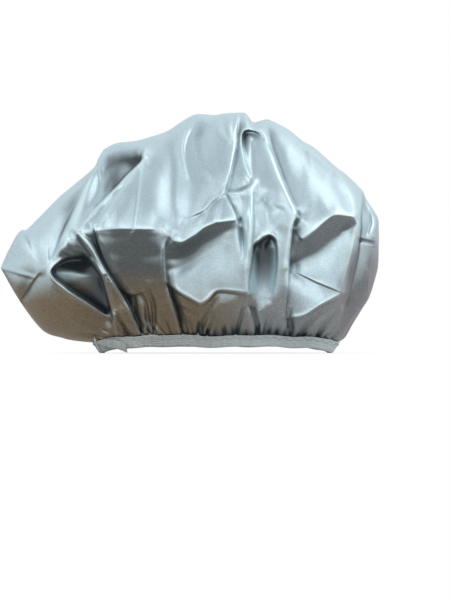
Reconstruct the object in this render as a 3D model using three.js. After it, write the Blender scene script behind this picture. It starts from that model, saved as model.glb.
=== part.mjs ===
// A gathered shower cap of silver coated cloth, standing on its elastic hem.
// Millimetres, +Z up, the front faces -Y. The origin is the middle of the head opening, on the table.

import * as THREE from "three";

// Hem: an oval loop of tape folded over an elastic and over the raw edges of the cloth
const HEM_HALF_WIDTH = 97;
const HEM_HALF_DEPTH = 40;
const BAND_HEIGHT = 9;
const TAPE_THICKNESS = 0.8;
const ELASTIC_THICKNESS = 1;
const ELASTIC_WIDTH = 6;
const CLEARANCE = 0.3;
// The hem stands on the two ends of its oval and lifts off the table between them
const HEM_ARCH = 5;
const ARCH_REACH = 0.9;
const ARCH_POWER = 6;

// Cloth
const SHELL_THICKNESS = 0.4;
const LINING_THICKNESS = 0.3;
const LINING_SLACK = 0.6;
const CLOTH_RISE = 0.7;

// Sewing thread, loose tape end and the tack that holds it
const THREAD_DIAMETER = 0.6;
const STITCH_LENGTH = 4;
const STITCH_SWING = 0.8;
const STITCH_BELOW_EDGE = 2.4;
const TACK_WIDTH = 2.2;
const TACK_HEIGHT = 6;
const TACK_BARS = 4;
const TACK_ANGLE = 193;
const TAIL_LENGTH = 33;
const TAIL_THICKNESS = 0.9;
const TAIL_PEEL = 4;
const TAIL_ROOT_LOW_EDGE = 4.9;
const TAIL_TIP_LOW_EDGE = 0.4;
const TAIL_TIP_HIGH_EDGE = 4.5;

// Crown: its width, its height above the tape, and its depth from the plane of its outline to the front
const CROWN_WIDTH = 302;
const CROWN_HEIGHT = 182.5;
const CROWN_DEPTH = 94;

// The outline and the folds below are drawn for a crown of this size and are stretched to the one above
const DRAWN_WIDTH = 302;
const DRAWN_HEIGHT = 182.5;
const DRAWN_DEPTH = 94;

// Outline of the crown seen from the front, as [x, z above the tape]. The sides start at the hem's ends,
// and the top edge has one point for each column of the mesh.
const LEFT_SIDE = [[-123, 3], [-139, 9], [-157, 32], [-172, 59]];
const RIGHT_SIDE = [[103, 5], [117, 26], [123, 37], [129, 56], [130, 65]];
const TOP_EDGE = [
  [-172, 59], [-163, 79], [-154, 90], [-138, 103], [-121, 119], [-99, 138], [-90, 153], [-72, 160],
  [-50, 165], [-34, 171], [-20, 180], [-4, 181], [10, 182.5], [22, 182.5], [29, 176], [43, 177],
  [60, 168], [79, 155], [97, 139], [116, 122], [126, 105], [130, 89], [130, 65],
];

// Main folds, as lines of [x, z above the tape, depth] seen from the front. Depth is how far the cloth
// stands out from the upright plane of the outline, and between these lines the cloth is drawn taut.
const FRONT_FOLDS = {
  peakRidge: [[-18, 175, 20], [-23, 163, 34], [-24, 141, 55], [-21, 132, 61]],
  groove: [[13, 175, 14], [15, 157, 34], [12, 139, 52], [8, 122, 68]],
  loop: [
    [30, 128, 72], [22, 145, 57], [20, 163, 38], [27, 168, 31], [38, 163, 36], [49, 139, 60], [64, 101, 90],
  ],
  hook: [[30, 128, 72], [20, 119, 78], [7, 117, 74], [-10, 103, 85], [-21, 98, 87]],
  middleLedge: [[17, 96, 92], [0, 93, 94], [-17, 83, 92], [-29, 78, 87], [-39, 82, 88]],
  underMiddleLedge: [[16, 91, 84], [-1, 80, 74], [-17, 69, 69], [-29, 62, 66], [-38, 57, 68]],
  middleRoll: [[-38, 47, 71], [-20, 34, 80], [-11, 30, 81], [1, 40, 80], [23, 38, 82]],
  centreRidge: [[28, 120, 84], [28, 91, 92], [26, 61, 88], [25, 39, 82], [26, 27, 70], [32, 8, 50]],
  hollow: [[36, 75, 70], [44, 78, 64], [45, 65, 68], [40, 47, 70]],
  stripByTheHollow: [[53, 94, 88], [51, 77, 85], [49, 56, 79], [43, 32, 70], [41, 19, 60]],
  rightSeam: [[64, 101, 90], [61, 88, 89], [58, 59, 82], [57, 41, 76], [56, 22, 63]],
  rightLedge: [[68, 80, 86], [77, 85, 88], [93, 99, 86], [108, 99, 76]],
  underTheRightLedge: [[60, 61, 68], [81, 75, 66], [99, 88, 62], [110, 95, 64]],
  rightFacetCrease: [[60, 56, 69], [81, 46, 74], [100, 38, 66]],
  rightRoll: [[57, 21, 62], [64, 17, 64], [75, 22, 69], [86, 31, 71], [99, 36, 65]],
  rightFrontEdge: [[117, 113, 24], [115, 89, 50], [111, 59, 47], [106, 41, 43], [97, 11, 28]],
  behindTheRightEdge: [[120, 103, 26], [119, 89, 30], [117, 75, 30], [114, 57, 28], [109, 37, 28]],
  leftOfThePleat: [[-104, 135, 10], [-115, 111, 24], [-127, 79, 36], [-135, 63, 40]],
  wingCrease: [[-157, 54, 15], [-144, 51, 26]],
  rimOfTheLowPanel: [
    [-100, 66, 56], [-119, 66, 50], [-130, 56, 47], [-115, 40, 46], [-94, 26, 42], [-80, 13, 33],
  ],
  lowPanel: [[-120, 58, 36], [-110, 48, 34], [-98, 39, 36], [-88, 31, 38]],
  leftPleat: [[-93, 149, 12], [-101, 128, 36], [-111, 101, 52], [-121, 78, 58], [-112, 68, 56]],
  pocketEdge: [[-56, 151, 36], [-72, 131, 57], [-98, 103, 71], [-110, 87, 76]],
  pocket: [[-66, 148, 18], [-77, 136, 28], [-91, 121, 46]],
  needlePleat: [[-110, 86, 77], [-94, 61, 72], [-88, 49, 66], [-84, 33, 56], [-81, 19, 44]],
  leftLedge: [[-110, 87, 76], [-85, 89, 86], [-70, 89, 89], [-45, 89, 91]],
  underTheLeftLedge: [[-83, 56, 67], [-62, 48, 71], [-53, 45, 69], [-41, 42, 67]],
  leftMiddlePleat: [[-39, 82, 88], [-41, 64, 79], [-36, 36, 64], [-31, 23, 54], [-28, 7, 43]],
  broadRidge: [[-56, 151, 38], [-52, 138, 54], [-45, 115, 75], [-39, 85, 90]],
};
const BACK_FOLDS = {
  leftRidge: [[-52, 161, 22], [-66, 131, 55], [-78, 95, 82], [-86, 51, 70], [-84, 15, 40]],
  leftValley: [[-34, 151, 42], [-42, 111, 70], [-50, 75, 74], [-52, 37, 56]],
  middleRidge: [[0, 175, 20], [-4, 141, 62], [-8, 99, 94], [-10, 63, 86], [-12, 25, 60]],
  ledge: [[-4, 91, 96], [28, 95, 96], [58, 97, 92], [86, 93, 80], [108, 85, 60]],
  underLedge: [[2, 75, 80], [34, 75, 76], [64, 73, 74], [90, 69, 62]],
  rightRoll: [[14, 35, 72], [44, 27, 74], [72, 31, 68], [96, 39, 52]],
  rightValley: [[44, 151, 48], [46, 125, 68], [44, 107, 80]],
  rightRidge: [[62, 151, 42], [72, 125, 66], [80, 103, 78]],
  wingRidge: [[-150, 79, 16], [-128, 75, 40], [-104, 79, 64]],
  wingValley: [[-142, 59, 18], [-122, 53, 36], [-102, 49, 50]],
  lowRoll: [[-118, 25, 34], [-92, 23, 50], [-64, 29, 62]],
};
// Above 1, the taut cloth swells a little between its folds
const SWELL_POWER = 1.6;

// Gathers stand out and in by turns, most of all just above the tape
const GATHER_DEPTHS = [2, 2.4, 1.6];
const GATHER_UNEVENNESS = 0.4;
const GATHER_BEAT = 2.3;

// Mesh density. The folds are worked out on a finer grid than the mesh, and the rows of the mesh are
// some of that grid's rows, closest where the ledges and rolls are and where the top turns over.
const HALF_COLUMNS = TOP_EDGE.length - 1;
const COLUMNS = 2 * HALF_COLUMNS;
const FINE_PER_COLUMN = 4;
const FINE_COLUMNS = HALF_COLUMNS * FINE_PER_COLUMN;
const FINE_ROWS = 60;
const CROWN_ROWS = [4, 9, 13, 18, 23, 27, 31, 37, 44, 51, 57, FINE_ROWS];
const FOLD_STEP = 1;
const TAUT_ROUNDS = 500;
const TAUT_PULL = 1.8;
const SOFTENING_ROUNDS = 4;
const TAIL_STEPS = 10;
const THREAD_SIDE_COUNT = 5;

// Colours and surfaces
const SILVER = { color: 0xb4c4ca, roughness: 0.35, metalness: 0.85 };
const LINING_GREY = { color: 0xc9cfd2, roughness: 0.5, metalness: 0.1 };
const TAPE_GREY = { color: 0xaab4b2, roughness: 0.8, metalness: 0 };
const ELASTIC_WHITE = { color: 0xe6e4de, roughness: 0.9, metalness: 0 };
const THREAD_WHITE = { color: 0xdfe6e6, roughness: 0.7, metalness: 0 };

// Layers across the hem, measured outward from the middle line of the loop
const SHELL_OUT = SHELL_THICKNESS + LINING_SLACK + LINING_THICKNESS;
const TAPE_OUTER_LEG = SHELL_OUT + CLEARANCE;
const TAPE_OUT = TAPE_OUTER_LEG + TAPE_THICKNESS;
const ELASTIC_OUT = -CLEARANCE;
const ELASTIC_IN = ELASTIC_OUT - ELASTIC_THICKNESS;
const TAPE_INNER_LEG = ELASTIC_IN - CLEARANCE;
const TAPE_IN = TAPE_INNER_LEG - TAPE_THICKNESS;
const LAYER_FLOOR = TAPE_THICKNESS + CLEARANCE;
const ON_TAPE = TAPE_OUT + CLEARANCE;

const FULL_TURN = 2 * Math.PI;
const REAR_START = 0;
const FRONT_START = Math.PI;

function radians(degrees) {
  return (degrees * Math.PI) / 180;
}

// Height of the hem's lower edge above the table
function hemLift(angle) {
  const share = Math.abs(Math.cos(angle)) / ARCH_REACH;
  return HEM_ARCH * Math.max(0, 1 - share ** ARCH_POWER);
}

// Length of hem per radian
function hemPace(angle) {
  return Math.hypot(HEM_HALF_WIDTH * Math.sin(angle), HEM_HALF_DEPTH * Math.cos(angle));
}

// A point on the hem, moved outward from its middle line and up from its lower edge
function hemPoint(angle, outward, up) {
  const normal = new THREE.Vector2(Math.cos(angle) / HEM_HALF_WIDTH, Math.sin(angle) / HEM_HALF_DEPTH);
  normal.normalize();
  const x = HEM_HALF_WIDTH * Math.cos(angle) + normal.x * outward;
  const y = HEM_HALF_DEPTH * Math.sin(angle) + normal.y * outward;
  return new THREE.Vector3(x, y, hemLift(angle) + up);
}

function columnAngle(column) {
  return (column / COLUMNS) * FULL_TURN;
}

// A drawn point of the outline or of a fold at the crown's own size, with its depth as y
function crownPlace([x, above, depth = 0]) {
  return new THREE.Vector3(
    (x * CROWN_WIDTH) / DRAWN_WIDTH,
    (depth * CROWN_DEPTH) / DRAWN_DEPTH,
    BAND_HEIGHT + (above * CROWN_HEIGHT) / DRAWN_HEIGHT,
  );
}

// A grid of points that fills four edges
function patch(bottom, top, left, right) {
  const across = bottom.length - 1;
  const high = left.length - 1;
  return left.map((_, row) => bottom.map((__, column) => {
    const u = column / across;
    const v = row / high;
    const rising = bottom[column].clone().lerp(top[column], v);
    const crossing = left[row].clone().lerp(right[row], u);
    const low = bottom[0].clone().lerp(bottom[across], u);
    const corners = low.lerp(top[0].clone().lerp(top[across], u), v);
    return rising.add(crossing).sub(corners);
  }));
}

// The grid point nearest to a place, as its row and column
function nearest(plan, place) {
  let best = { distance: Infinity };
  plan.forEach((points, row) => points.forEach((point, column) => {
    const distance = Math.hypot(point.x - place.x, point.z - place.z);
    if (distance < best.distance) best = { distance, row, column };
  }));
  return best;
}

// The depth of the cloth at each point of a grid, taut between the outline, the hem and the folds
function drawTaut(plan, hemDepths, folds) {
  const field = plan.map((points) => points.map(() => 0));
  const held = plan.map((points, row) => points.map((_, column) => {
    return row === 0 || row === FINE_ROWS || column === 0 || column === FINE_COLUMNS;
  }));
  field[0] = hemDepths.map((depth) => depth ** SWELL_POWER);
  for (const line of Object.values(folds)) {
    const curve = new THREE.CatmullRomCurve3(line.map(crownPlace));
    for (const place of curve.getSpacedPoints(Math.round(curve.getLength() / FOLD_STEP))) {
      const { row, column } = nearest(plan, place);
      if (row === 0 || row === FINE_ROWS) continue;
      field[row][column] = place.y ** SWELL_POWER;
      held[row][column] = true;
    }
  }
  const round = (pull, moves) => {
    for (let row = 1; row < FINE_ROWS; row += 1) {
      for (let column = 1; column < FINE_COLUMNS; column += 1) {
        if (!moves(row, column)) continue;
        const beside = field[row][column - 1] + field[row][column + 1];
        const over = field[row - 1][column] + field[row + 1][column];
        field[row][column] += pull * ((beside + over) / 4 - field[row][column]);
      }
    }
  };
  for (let turn = 0; turn < TAUT_ROUNDS; turn += 1) round(TAUT_PULL, (row, column) => !held[row][column]);
  for (let turn = 0; turn < SOFTENING_ROUNDS; turn += 1) round(1 / 2, () => true);
  return field.map((values) => values.map((value) => Math.max(value, 0) ** (1 / SWELL_POWER)));
}

// The front or back of the crown, from its left end to its right: rows of points from hem to top edge
function crownSide(facing, folds) {
  const hem = Array.from({ length: FINE_COLUMNS + 1 }, (_, column) => {
    const turn = facing * (Math.PI - (column / FINE_COLUMNS) * Math.PI);
    return hemPoint(turn, SHELL_OUT, BAND_HEIGHT + CLOTH_RISE);
  });
  const bottom = hem.map((point) => new THREE.Vector3(point.x, 0, point.z));
  const top = new THREE.CatmullRomCurve3(TOP_EDGE.map(crownPlace)).getPoints(FINE_COLUMNS);
  const left = new THREE.CatmullRomCurve3([bottom[0], ...LEFT_SIDE.map(crownPlace)]);
  const right = new THREE.CatmullRomCurve3([bottom[FINE_COLUMNS], ...RIGHT_SIDE.map(crownPlace)]);
  const plan = patch(bottom, top, left.getSpacedPoints(FINE_ROWS), right.getSpacedPoints(FINE_ROWS));
  const depths = drawTaut(plan, hem.map((point) => Math.abs(point.y)), folds);
  return CROWN_ROWS.map((row) => Array.from({ length: HALF_COLUMNS + 1 }, (_, column) => {
    const spot = plan[row][column * FINE_PER_COLUMN];
    return new THREE.Vector3(spot.x, facing * depths[row][column * FINE_PER_COLUMN], spot.z);
  }));
}

// Both sides of the crown joined: rows of points all the way round, from the right end by the back
function crownSurface() {
  const front = crownSide(-1, FRONT_FOLDS);
  const back = crownSide(1, BACK_FOLDS);
  return CROWN_ROWS.map((_, row) => [
    ...back[row].slice().reverse(),
    ...front[row].slice(1, HALF_COLUMNS),
  ]);
}

function wayTo(point, from) {
  return point.clone().sub(from).normalize();
}

// Outward direction of the crown's surface at each point, as the mean of the faces round it
function outwardDirections(surface) {
  const last = surface.length - 1;
  return surface.map((points, row) => points.map((point, column) => {
    const next = points[(column + 1) % COLUMNS];
    const before = points[(column + COLUMNS - 1) % COLUMNS];
    const below = surface[Math.max(row - 1, 0)][column];
    const atTip = row === last && column % HALF_COLUMNS === 0;
    if (atTip) return wayTo(point, below).add(wayTo(point, next)).normalize();
    const above = row < last ? surface[row + 1][column] : surface[row - 1][COLUMNS - column];
    const ways = [next, above, before, below].map((other) => wayTo(other, point));
    const outward = new THREE.Vector3();
    ways.forEach((way, corner) => {
      const following = ways[(corner + 1) % ways.length];
      outward.add(way.clone().cross(following).normalize());
    });
    return outward.normalize();
  }));
}

// Moves the points just above the tape out and in by turns
function gather(surface, directions) {
  GATHER_DEPTHS.forEach((depth, row) => surface[row].forEach((point, column) => {
    const sway = column % 2 === 0 ? 1 : -1;
    const uneven = 1 + GATHER_UNEVENNESS * Math.sin(GATHER_BEAT * column);
    point.addScaledVector(directions[row][column], (sway * depth * uneven) / 2);
  }));
}

const crown = crownSurface();
const crownOutward = outwardDirections(crown);
gather(crown, crownOutward);

// One surface of the crown as rings of points, a given depth inside the cloth's outer face. Where the
// cloth turns outward over the tape, the inner layers turn higher up.
function crownRings(inset) {
  const columns = Array.from({ length: COLUMNS }, (_, column) => column);
  const hemRow = (up) => columns.map((column) => hemPoint(columnAngle(column), SHELL_OUT - inset, up));
  const above = crown.map((points, row) => points.map((point, column) => {
    return point.clone().addScaledVector(crownOutward[row][column], -inset);
  }));
  return [hemRow(LAYER_FLOOR), hemRow(BAND_HEIGHT + CLOTH_RISE + inset), ...above];
}

// A closed mesh from points and faces, with its faces turned outward
function solid(points, faces) {
  const triangles = [];
  for (const face of faces) {
    for (let corner = 2; corner < face.length; corner += 1) {
      triangles.push([face[0], face[corner - 1], face[corner]]);
    }
  }
  const volume = triangles.reduce((sum, [a, b, c]) => {
    return sum + points[a].dot(new THREE.Vector3().crossVectors(points[b], points[c]));
  }, 0);
  const order = volume > 0 ? triangles : triangles.map(([a, b, c]) => [a, c, b]);
  const geometry = new THREE.BufferGeometry();
  geometry.setFromPoints(points);
  geometry.setIndex(order.flat());
  geometry.computeVertexNormals();
  return geometry;
}

// A face seen from its other side, split from the same corner
function turned([first, ...others]) {
  return [first, ...others.reverse()];
}

// A layer of the crown's cloth: an outer face, an inner face and a rim at the hem. The front and the
// back share the points of the top edge.
function clothLayer(outerInset, thickness) {
  const outer = crownRings(outerInset);
  const inner = crownRings(outerInset + thickness);
  const points = [];
  const numbers = [outer, inner].map((rings) => rings.map((ring, row) => ring.map((point, column) => {
    if (row === rings.length - 1 && column > HALF_COLUMNS) return null;
    return points.push(point) - 1;
  })));
  for (const rows of numbers) {
    const top = rows[rows.length - 1];
    top.forEach((_, column) => {
      if (column > HALF_COLUMNS) top[column] = top[COLUMNS - column];
    });
  }
  const [outside, inside] = numbers;
  const faces = [];
  for (let column = 0; column < COLUMNS; column += 1) {
    const next = (column + 1) % COLUMNS;
    // Each face is split from its first corner, which is off the outline so that the tips keep their depth
    const [first, second] = column % HALF_COLUMNS === 0 ? [next, column] : [column, next];
    for (let row = 0; row < outer.length - 1; row += 1) {
      const [low, high] = [outside[row], outside[row + 1]];
      const face = [low[first], low[second], high[second], high[first]];
      const [lowIn, highIn] = [inside[row], inside[row + 1]];
      const faceIn = [lowIn[first], highIn[first], highIn[second], lowIn[second]];
      faces.push(first === column ? face : turned(face), first === column ? faceIn : turned(faceIn));
    }
    faces.push([outside[0][next], outside[0][column], inside[0][column], inside[0][next]]);
  }
  return solid(points, faces);
}

// A strip swept along the hem: one section of [outward, up] points at each angle
function hemStrip(angles, sectionAt) {
  const sections = angles.map((angle, step) => {
    const share = step / (angles.length - 1);
    return sectionAt(share, angle).map(([outward, up]) => hemPoint(angle, outward, up));
  });
  const count = sections[0].length;
  const points = sections.flat();
  const faces = [];
  for (let step = 0; step < sections.length - 1; step += 1) {
    for (let corner = 0; corner < count; corner += 1) {
      const next = (corner + 1) % count;
      const here = step * count;
      const there = here + count;
      faces.push([here + corner, here + next, there + next, there + corner]);
    }
  }
  const outline = sectionAt(0, angles[0]).map(([outward, up]) => new THREE.Vector2(outward, up));
  const last = (sections.length - 1) * count;
  for (const [a, b, c] of THREE.ShapeUtils.triangulateShape(outline, [])) {
    const turned = THREE.ShapeUtils.isClockWise(outline);
    faces.push(turned ? [a, b, c] : [c, b, a]);
    faces.push((turned ? [c, b, a] : [a, b, c]).map((corner) => last + corner));
  }
  return solid(points, faces);
}

// Angles of half the hem, on the same columns as the cloth, with a small gap at each end
function halfHemAngles(start) {
  const steps = COLUMNS / 2;
  const gap = CLEARANCE / 2 / HEM_HALF_DEPTH;
  return Array.from({ length: steps + 1 }, (_, step) => {
    const trim = step === 0 ? gap : step === steps ? -gap : 0;
    return start + (step / COLUMNS) * FULL_TURN + trim;
  });
}

// The folded tape: a channel that takes the cloth and the elastic
function tapeSection() {
  return [
    [TAPE_OUT, 0],
    [TAPE_OUT, BAND_HEIGHT],
    [TAPE_OUTER_LEG, BAND_HEIGHT],
    [TAPE_OUTER_LEG, TAPE_THICKNESS],
    [TAPE_INNER_LEG, TAPE_THICKNESS],
    [TAPE_INNER_LEG, BAND_HEIGHT],
    [TAPE_IN, BAND_HEIGHT],
    [TAPE_IN, 0],
  ];
}

function elasticSection() {
  const top = LAYER_FLOOR + ELASTIC_WIDTH;
  return [[ELASTIC_OUT, LAYER_FLOOR], [ELASTIC_OUT, top], [ELASTIC_IN, top], [ELASTIC_IN, LAYER_FLOOR]];
}

// Zigzag stitching along the tape, as one thread laid from swing to swing
function stitchRow(start, end) {
  const middle = (start + end) / 2;
  const steps = Math.round(((end - start) * hemPace(middle)) / STITCH_LENGTH);
  const path = Array.from({ length: steps + 1 }, (_, step) => {
    const angle = start + ((end - start) * step) / steps;
    const swing = step % 2 === 0 ? STITCH_SWING : -STITCH_SWING;
    return { angle, up: BAND_HEIGHT - STITCH_BELOW_EDGE + swing };
  });
  const radius = THREAD_DIAMETER / 2;
  const section = (_, angle) => {
    const { up } = path.find((spot) => spot.angle === angle);
    return Array.from({ length: THREAD_SIDE_COUNT }, (__, side) => {
      const turn = (side / THREAD_SIDE_COUNT) * FULL_TURN;
      return [ON_TAPE + radius + radius * Math.cos(turn), up + radius * Math.sin(turn)];
    });
  };
  return hemStrip(path.map((spot) => spot.angle), section);
}

const tackStart = radians(TACK_ANGLE);
const tackEnd = tackStart + TACK_WIDTH / hemPace(tackStart);
// The tape end turns beside the tack, so half its thickness stays free there
const tailStart = tackEnd + (CLEARANCE + TAIL_THICKNESS / 2) / hemPace(tackEnd);

// Angles along the loose tape end, in steps of equal length
function tailAngles() {
  const angles = [tailStart];
  for (let step = 0; step < TAIL_STEPS; step += 1) {
    const angle = angles[step];
    angles.push(angle + TAIL_LENGTH / TAIL_STEPS / hemPace(angle));
  }
  return angles;
}

// The loose tape end peels off the hem and droops to a pointed tip just above the table
function tailSection(share, angle) {
  const inside = ON_TAPE + TAIL_PEEL * share * share;
  const outside = inside + TAIL_THICKNESS;
  const droop = share ** 3;
  const level = hemLift(angle);
  const high = THREE.MathUtils.lerp(BAND_HEIGHT - CLEARANCE, TAIL_TIP_HIGH_EDGE - level, droop);
  const low = THREE.MathUtils.lerp(TAIL_TIP_LOW_EDGE, TAIL_ROOT_LOW_EDGE, (1 - share) ** 2) - level;
  return [[inside, low], [outside, low], [outside, high], [inside, high]];
}

// The bar tack: rows of thread side by side across the lap of the tape
function tackSection() {
  const bottom = (BAND_HEIGHT - TACK_HEIGHT) / 2;
  const pitch = TACK_HEIGHT / TACK_BARS;
  const outline = [[ON_TAPE, bottom]];
  for (let bar = 0; bar < TACK_BARS; bar += 1) {
    outline.push([ON_TAPE + THREAD_DIAMETER / 2, bottom + bar * pitch]);
    outline.push([ON_TAPE + THREAD_DIAMETER, bottom + (bar + 0.5) * pitch]);
  }
  outline.push([ON_TAPE + THREAD_DIAMETER / 2, bottom + TACK_HEIGHT]);
  outline.push([ON_TAPE, bottom + TACK_HEIGHT]);
  return outline;
}

const cap = new THREE.Group();

function addPiece(name, geometry, surface) {
  const mesh = new THREE.Mesh(geometry, new THREE.MeshStandardMaterial(surface));
  mesh.name = name;
  cap.add(mesh);
}

// Crown
addPiece("outer_shell", clothLayer(0, SHELL_THICKNESS), SILVER);
addPiece("waterproof_lining", clothLayer(SHELL_THICKNESS + LINING_SLACK, LINING_THICKNESS), LINING_GREY);

// Hem, in a front and a rear half that draw apart as the elastic stretches
const frontAngles = halfHemAngles(FRONT_START);
const rearAngles = halfHemAngles(REAR_START);
addPiece("hem_tape_front", hemStrip(frontAngles, tapeSection), TAPE_GREY);
addPiece("hem_tape_rear", hemStrip(rearAngles, tapeSection), TAPE_GREY);
addPiece("elastic_front", hemStrip(frontAngles, elasticSection), ELASTIC_WHITE);
addPiece("elastic_rear", hemStrip(rearAngles, elasticSection), ELASTIC_WHITE);

// Sewing
const tailEnd = tailAngles()[TAIL_STEPS];
const stitchMargin = STITCH_LENGTH / HEM_HALF_DEPTH;
const frontRow = stitchRow(tailEnd + stitchMargin, FULL_TURN - stitchMargin / 2);
const rearRow = stitchRow(REAR_START + stitchMargin / 2, FRONT_START - stitchMargin / 2);
addPiece("stitching_front", frontRow, THREAD_WHITE);
addPiece("stitching_rear", rearRow, THREAD_WHITE);
const tackAngles = [tackStart, (tackStart + tackEnd) / 2, tackEnd];
addPiece("bar_tack", hemStrip(tackAngles, tackSection), THREAD_WHITE);

// Loose tape end
addPiece("loose_tape_end", hemStrip(tailAngles(), tailSection), TAPE_GREY);

export default cap;
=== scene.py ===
import math

import bpy
import numpy as np
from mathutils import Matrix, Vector, kdtree, noise


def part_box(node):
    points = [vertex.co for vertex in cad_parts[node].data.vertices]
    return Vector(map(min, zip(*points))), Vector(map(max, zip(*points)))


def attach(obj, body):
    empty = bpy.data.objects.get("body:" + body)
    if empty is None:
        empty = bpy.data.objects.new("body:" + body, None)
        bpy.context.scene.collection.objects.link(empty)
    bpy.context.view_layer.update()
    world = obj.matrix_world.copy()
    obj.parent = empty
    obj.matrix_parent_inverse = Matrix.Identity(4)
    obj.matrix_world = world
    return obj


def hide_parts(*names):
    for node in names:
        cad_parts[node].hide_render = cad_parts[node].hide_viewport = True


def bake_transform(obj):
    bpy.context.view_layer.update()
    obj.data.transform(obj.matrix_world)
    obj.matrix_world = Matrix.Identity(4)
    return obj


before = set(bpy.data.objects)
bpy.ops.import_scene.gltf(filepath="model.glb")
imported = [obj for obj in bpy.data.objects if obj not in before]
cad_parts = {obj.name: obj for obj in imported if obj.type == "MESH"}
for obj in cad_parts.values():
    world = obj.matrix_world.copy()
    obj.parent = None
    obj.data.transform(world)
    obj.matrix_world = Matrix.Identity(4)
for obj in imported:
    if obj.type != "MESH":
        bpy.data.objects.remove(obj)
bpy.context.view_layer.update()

# Lengths below are in millimetres, and meshes are made in metres. The front of the cap faces -Y.
MM = 0.001

# The hem stands on the two ends of its oval, lifts off the table between them and leans in at its ends.
# Its waves are given as (how many go round, share of the height, start).
HEM_ARCH = 5.0
ARCH_REACH = 0.98
ARCH_POWER = 6
HEM_LEAN = 6.0
LEAN_POWER = 10
HEM_WAVE = 0.5
HEM_WAVES = ((9, 1.0, 0), (17, 0.7, 1))
HEM_SAMPLES = 720
LOOP_SAMPLES = 3000

# The hem's oval and band, read from the tape in the frame. The tape's face lies out from the middle line.
TAPE_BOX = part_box("hem_tape_rear")
TAPE_OUT = 2.4
BAND_HEIGHT = TAPE_BOX[1][2] / MM - HEM_ARCH
HEM_HALF_WIDTH = TAPE_BOX[1][0] / MM - TAPE_OUT
HEM_HALF_DEPTH = TAPE_BOX[1][1] / MM - TAPE_OUT

# Ribs along the tape, and the elastic inside it
HEM_STEP = 1.0
RIB_HEIGHT = 0.12
RIB_PITCH = 1.7
RIB_LOW = 0.8
RIB_BELOW_TOP = 0.9
RIB_POINTS = 34
ELASTIC_OUT = (-1.3, -0.3)
ELASTIC_UP = (1.1, 7.1)

# Threads: the sides of their section, and a direction that none of them runs in
THREAD_SIDES = 6
NO_THREADS_WAY = (0.3, 0.2, 1.0)

# Stitches: the length of one, its swing about a line below the tape's top, and the gaps at the row's ends
STITCH_LENGTH = 4.0
STITCH_POINTS = 8
STITCH_BELOW_TOP = 2.4
STITCH_SWING = 0.8
STITCH_OUT = 0.12
STITCH_LOFT = 0.22
STITCH_RADIUS = 0.2
STITCH_START_GAP = 2
STITCH_END_GAP = 3

# Bar tack: rows of thread one above the other, and loose ends of it as (turn, rise).
# TACK_ARC is the oval's length there over that of a circle of its half depth.
TACK_ANGLE = 193
TACK_WIDTH = 2.2
TACK_ARC = 1.15
TACK_LOW = 1.6
TACK_HIGH = 7.4
TACK_BARS = 8
TACK_POINTS = 9
TACK_OUT = 0.2
TACK_LOFT = 0.5
TACK_TILT = 0.25
TACK_RADIUS = 0.32
TACK_ENDS = ((0.02, 3.4), (0.05, 4.6), (0.09, 2.6))
TACK_END_POINTS = 10
TACK_END_PLACE = 0.4
TACK_END_OUT = 2.2
TACK_END_UP = 7.6
TACK_END_BEND = 1.9

# Loose end of the tape, with its edges as (x, z)
TAIL_START_ANGLE = 196.7
TAIL_END_ANGLE = 225
TAIL_STEP = 0.1
TAIL_POINTS = 40
TAIL_ROWS = 12
TAIL_OUT = 0.9
TAIL_PEEL = 3.0
TAIL_BOW = 0.7
TAIL_ROLL = 0.9
TAIL_ROLL_START = 0.75
TAIL_THICKNESS = 0.8
TAIL_UPPER_EDGE = [(-93, 9.6), (-89.6, 10.6), (-83, 10.9), (-78.9, 10.5), (-73, 8.6), (-68.5, 5.4)]
TAIL_LOWER_EDGE = [(-93, 7.6), (-89.6, 6.3), (-84.2, 4.6), (-78, 3.6), (-74.2, 2.7), (-71, 1.4),
                   (-68.5, 0.4)]

# Thickness of the cloth and the lining, and how they enter the hem
CLOTH_THICKNESS = 0.35
CLOTH_RISE = 0.7
CLOTH_AT_HEM = 1.0
CLOTH_TUCK = 6.0
CLOTH_TUCK_HALFWAY = 1.5
LINING_THICKNESS = 0.25
LINING_INSET = 4.5
LINING_AT_HEM = 0.2
LINING_ABOVE_HEM = -2.2
LINING_STEP = 5

# Name of the body that the crown and the front of the hem belong to
FRONT_BODY = "crown_and_front_hem"

# Grid of the crown's front and back sheets, and how the cloth is spanned over it. Its depth is spanned
# to a power, so that it comes out round at the outline.
COLUMNS = 420
ROWS = 210
SWELL_POWER = 1.6
FRONT_SWELL = 0.3
BACK_SWELL = 0.5
SPAN_ROUNDS = 1400
SPAN_PULL = 1.93
LEAST_SPACING = 0.05
LEAST_DEPTH_SHARE = 0.2
FOLD_SOFTENING = 24
BEND_REACH = 11.0
BEND_BLUR = 260

# How wide a neighbourhood tells hollows from ribs, in rounds of smoothing, and the grid points from the
# outline over which that fades in
CAVITY_BLUR = 32
WIDE_BLUR = 700
CAVITY_MARGIN = 4
CAVITY_FADE = 14

# Drawn lines: steps along them, edges of laps, and how a line's value spreads and ends
FOLD_STEP = 0.4
LINE_STEP = 0.5
LINE_SPREAD = 0.3
LINE_END_FADE = 3.0
LINE_END_SPREAD = 0.8
LAP_EDGE = 1.2
LAP_RIM = 0.08
LAP_RIM_PLACE = 1.6
LAP_RISE_POWER = 1.4

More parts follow.
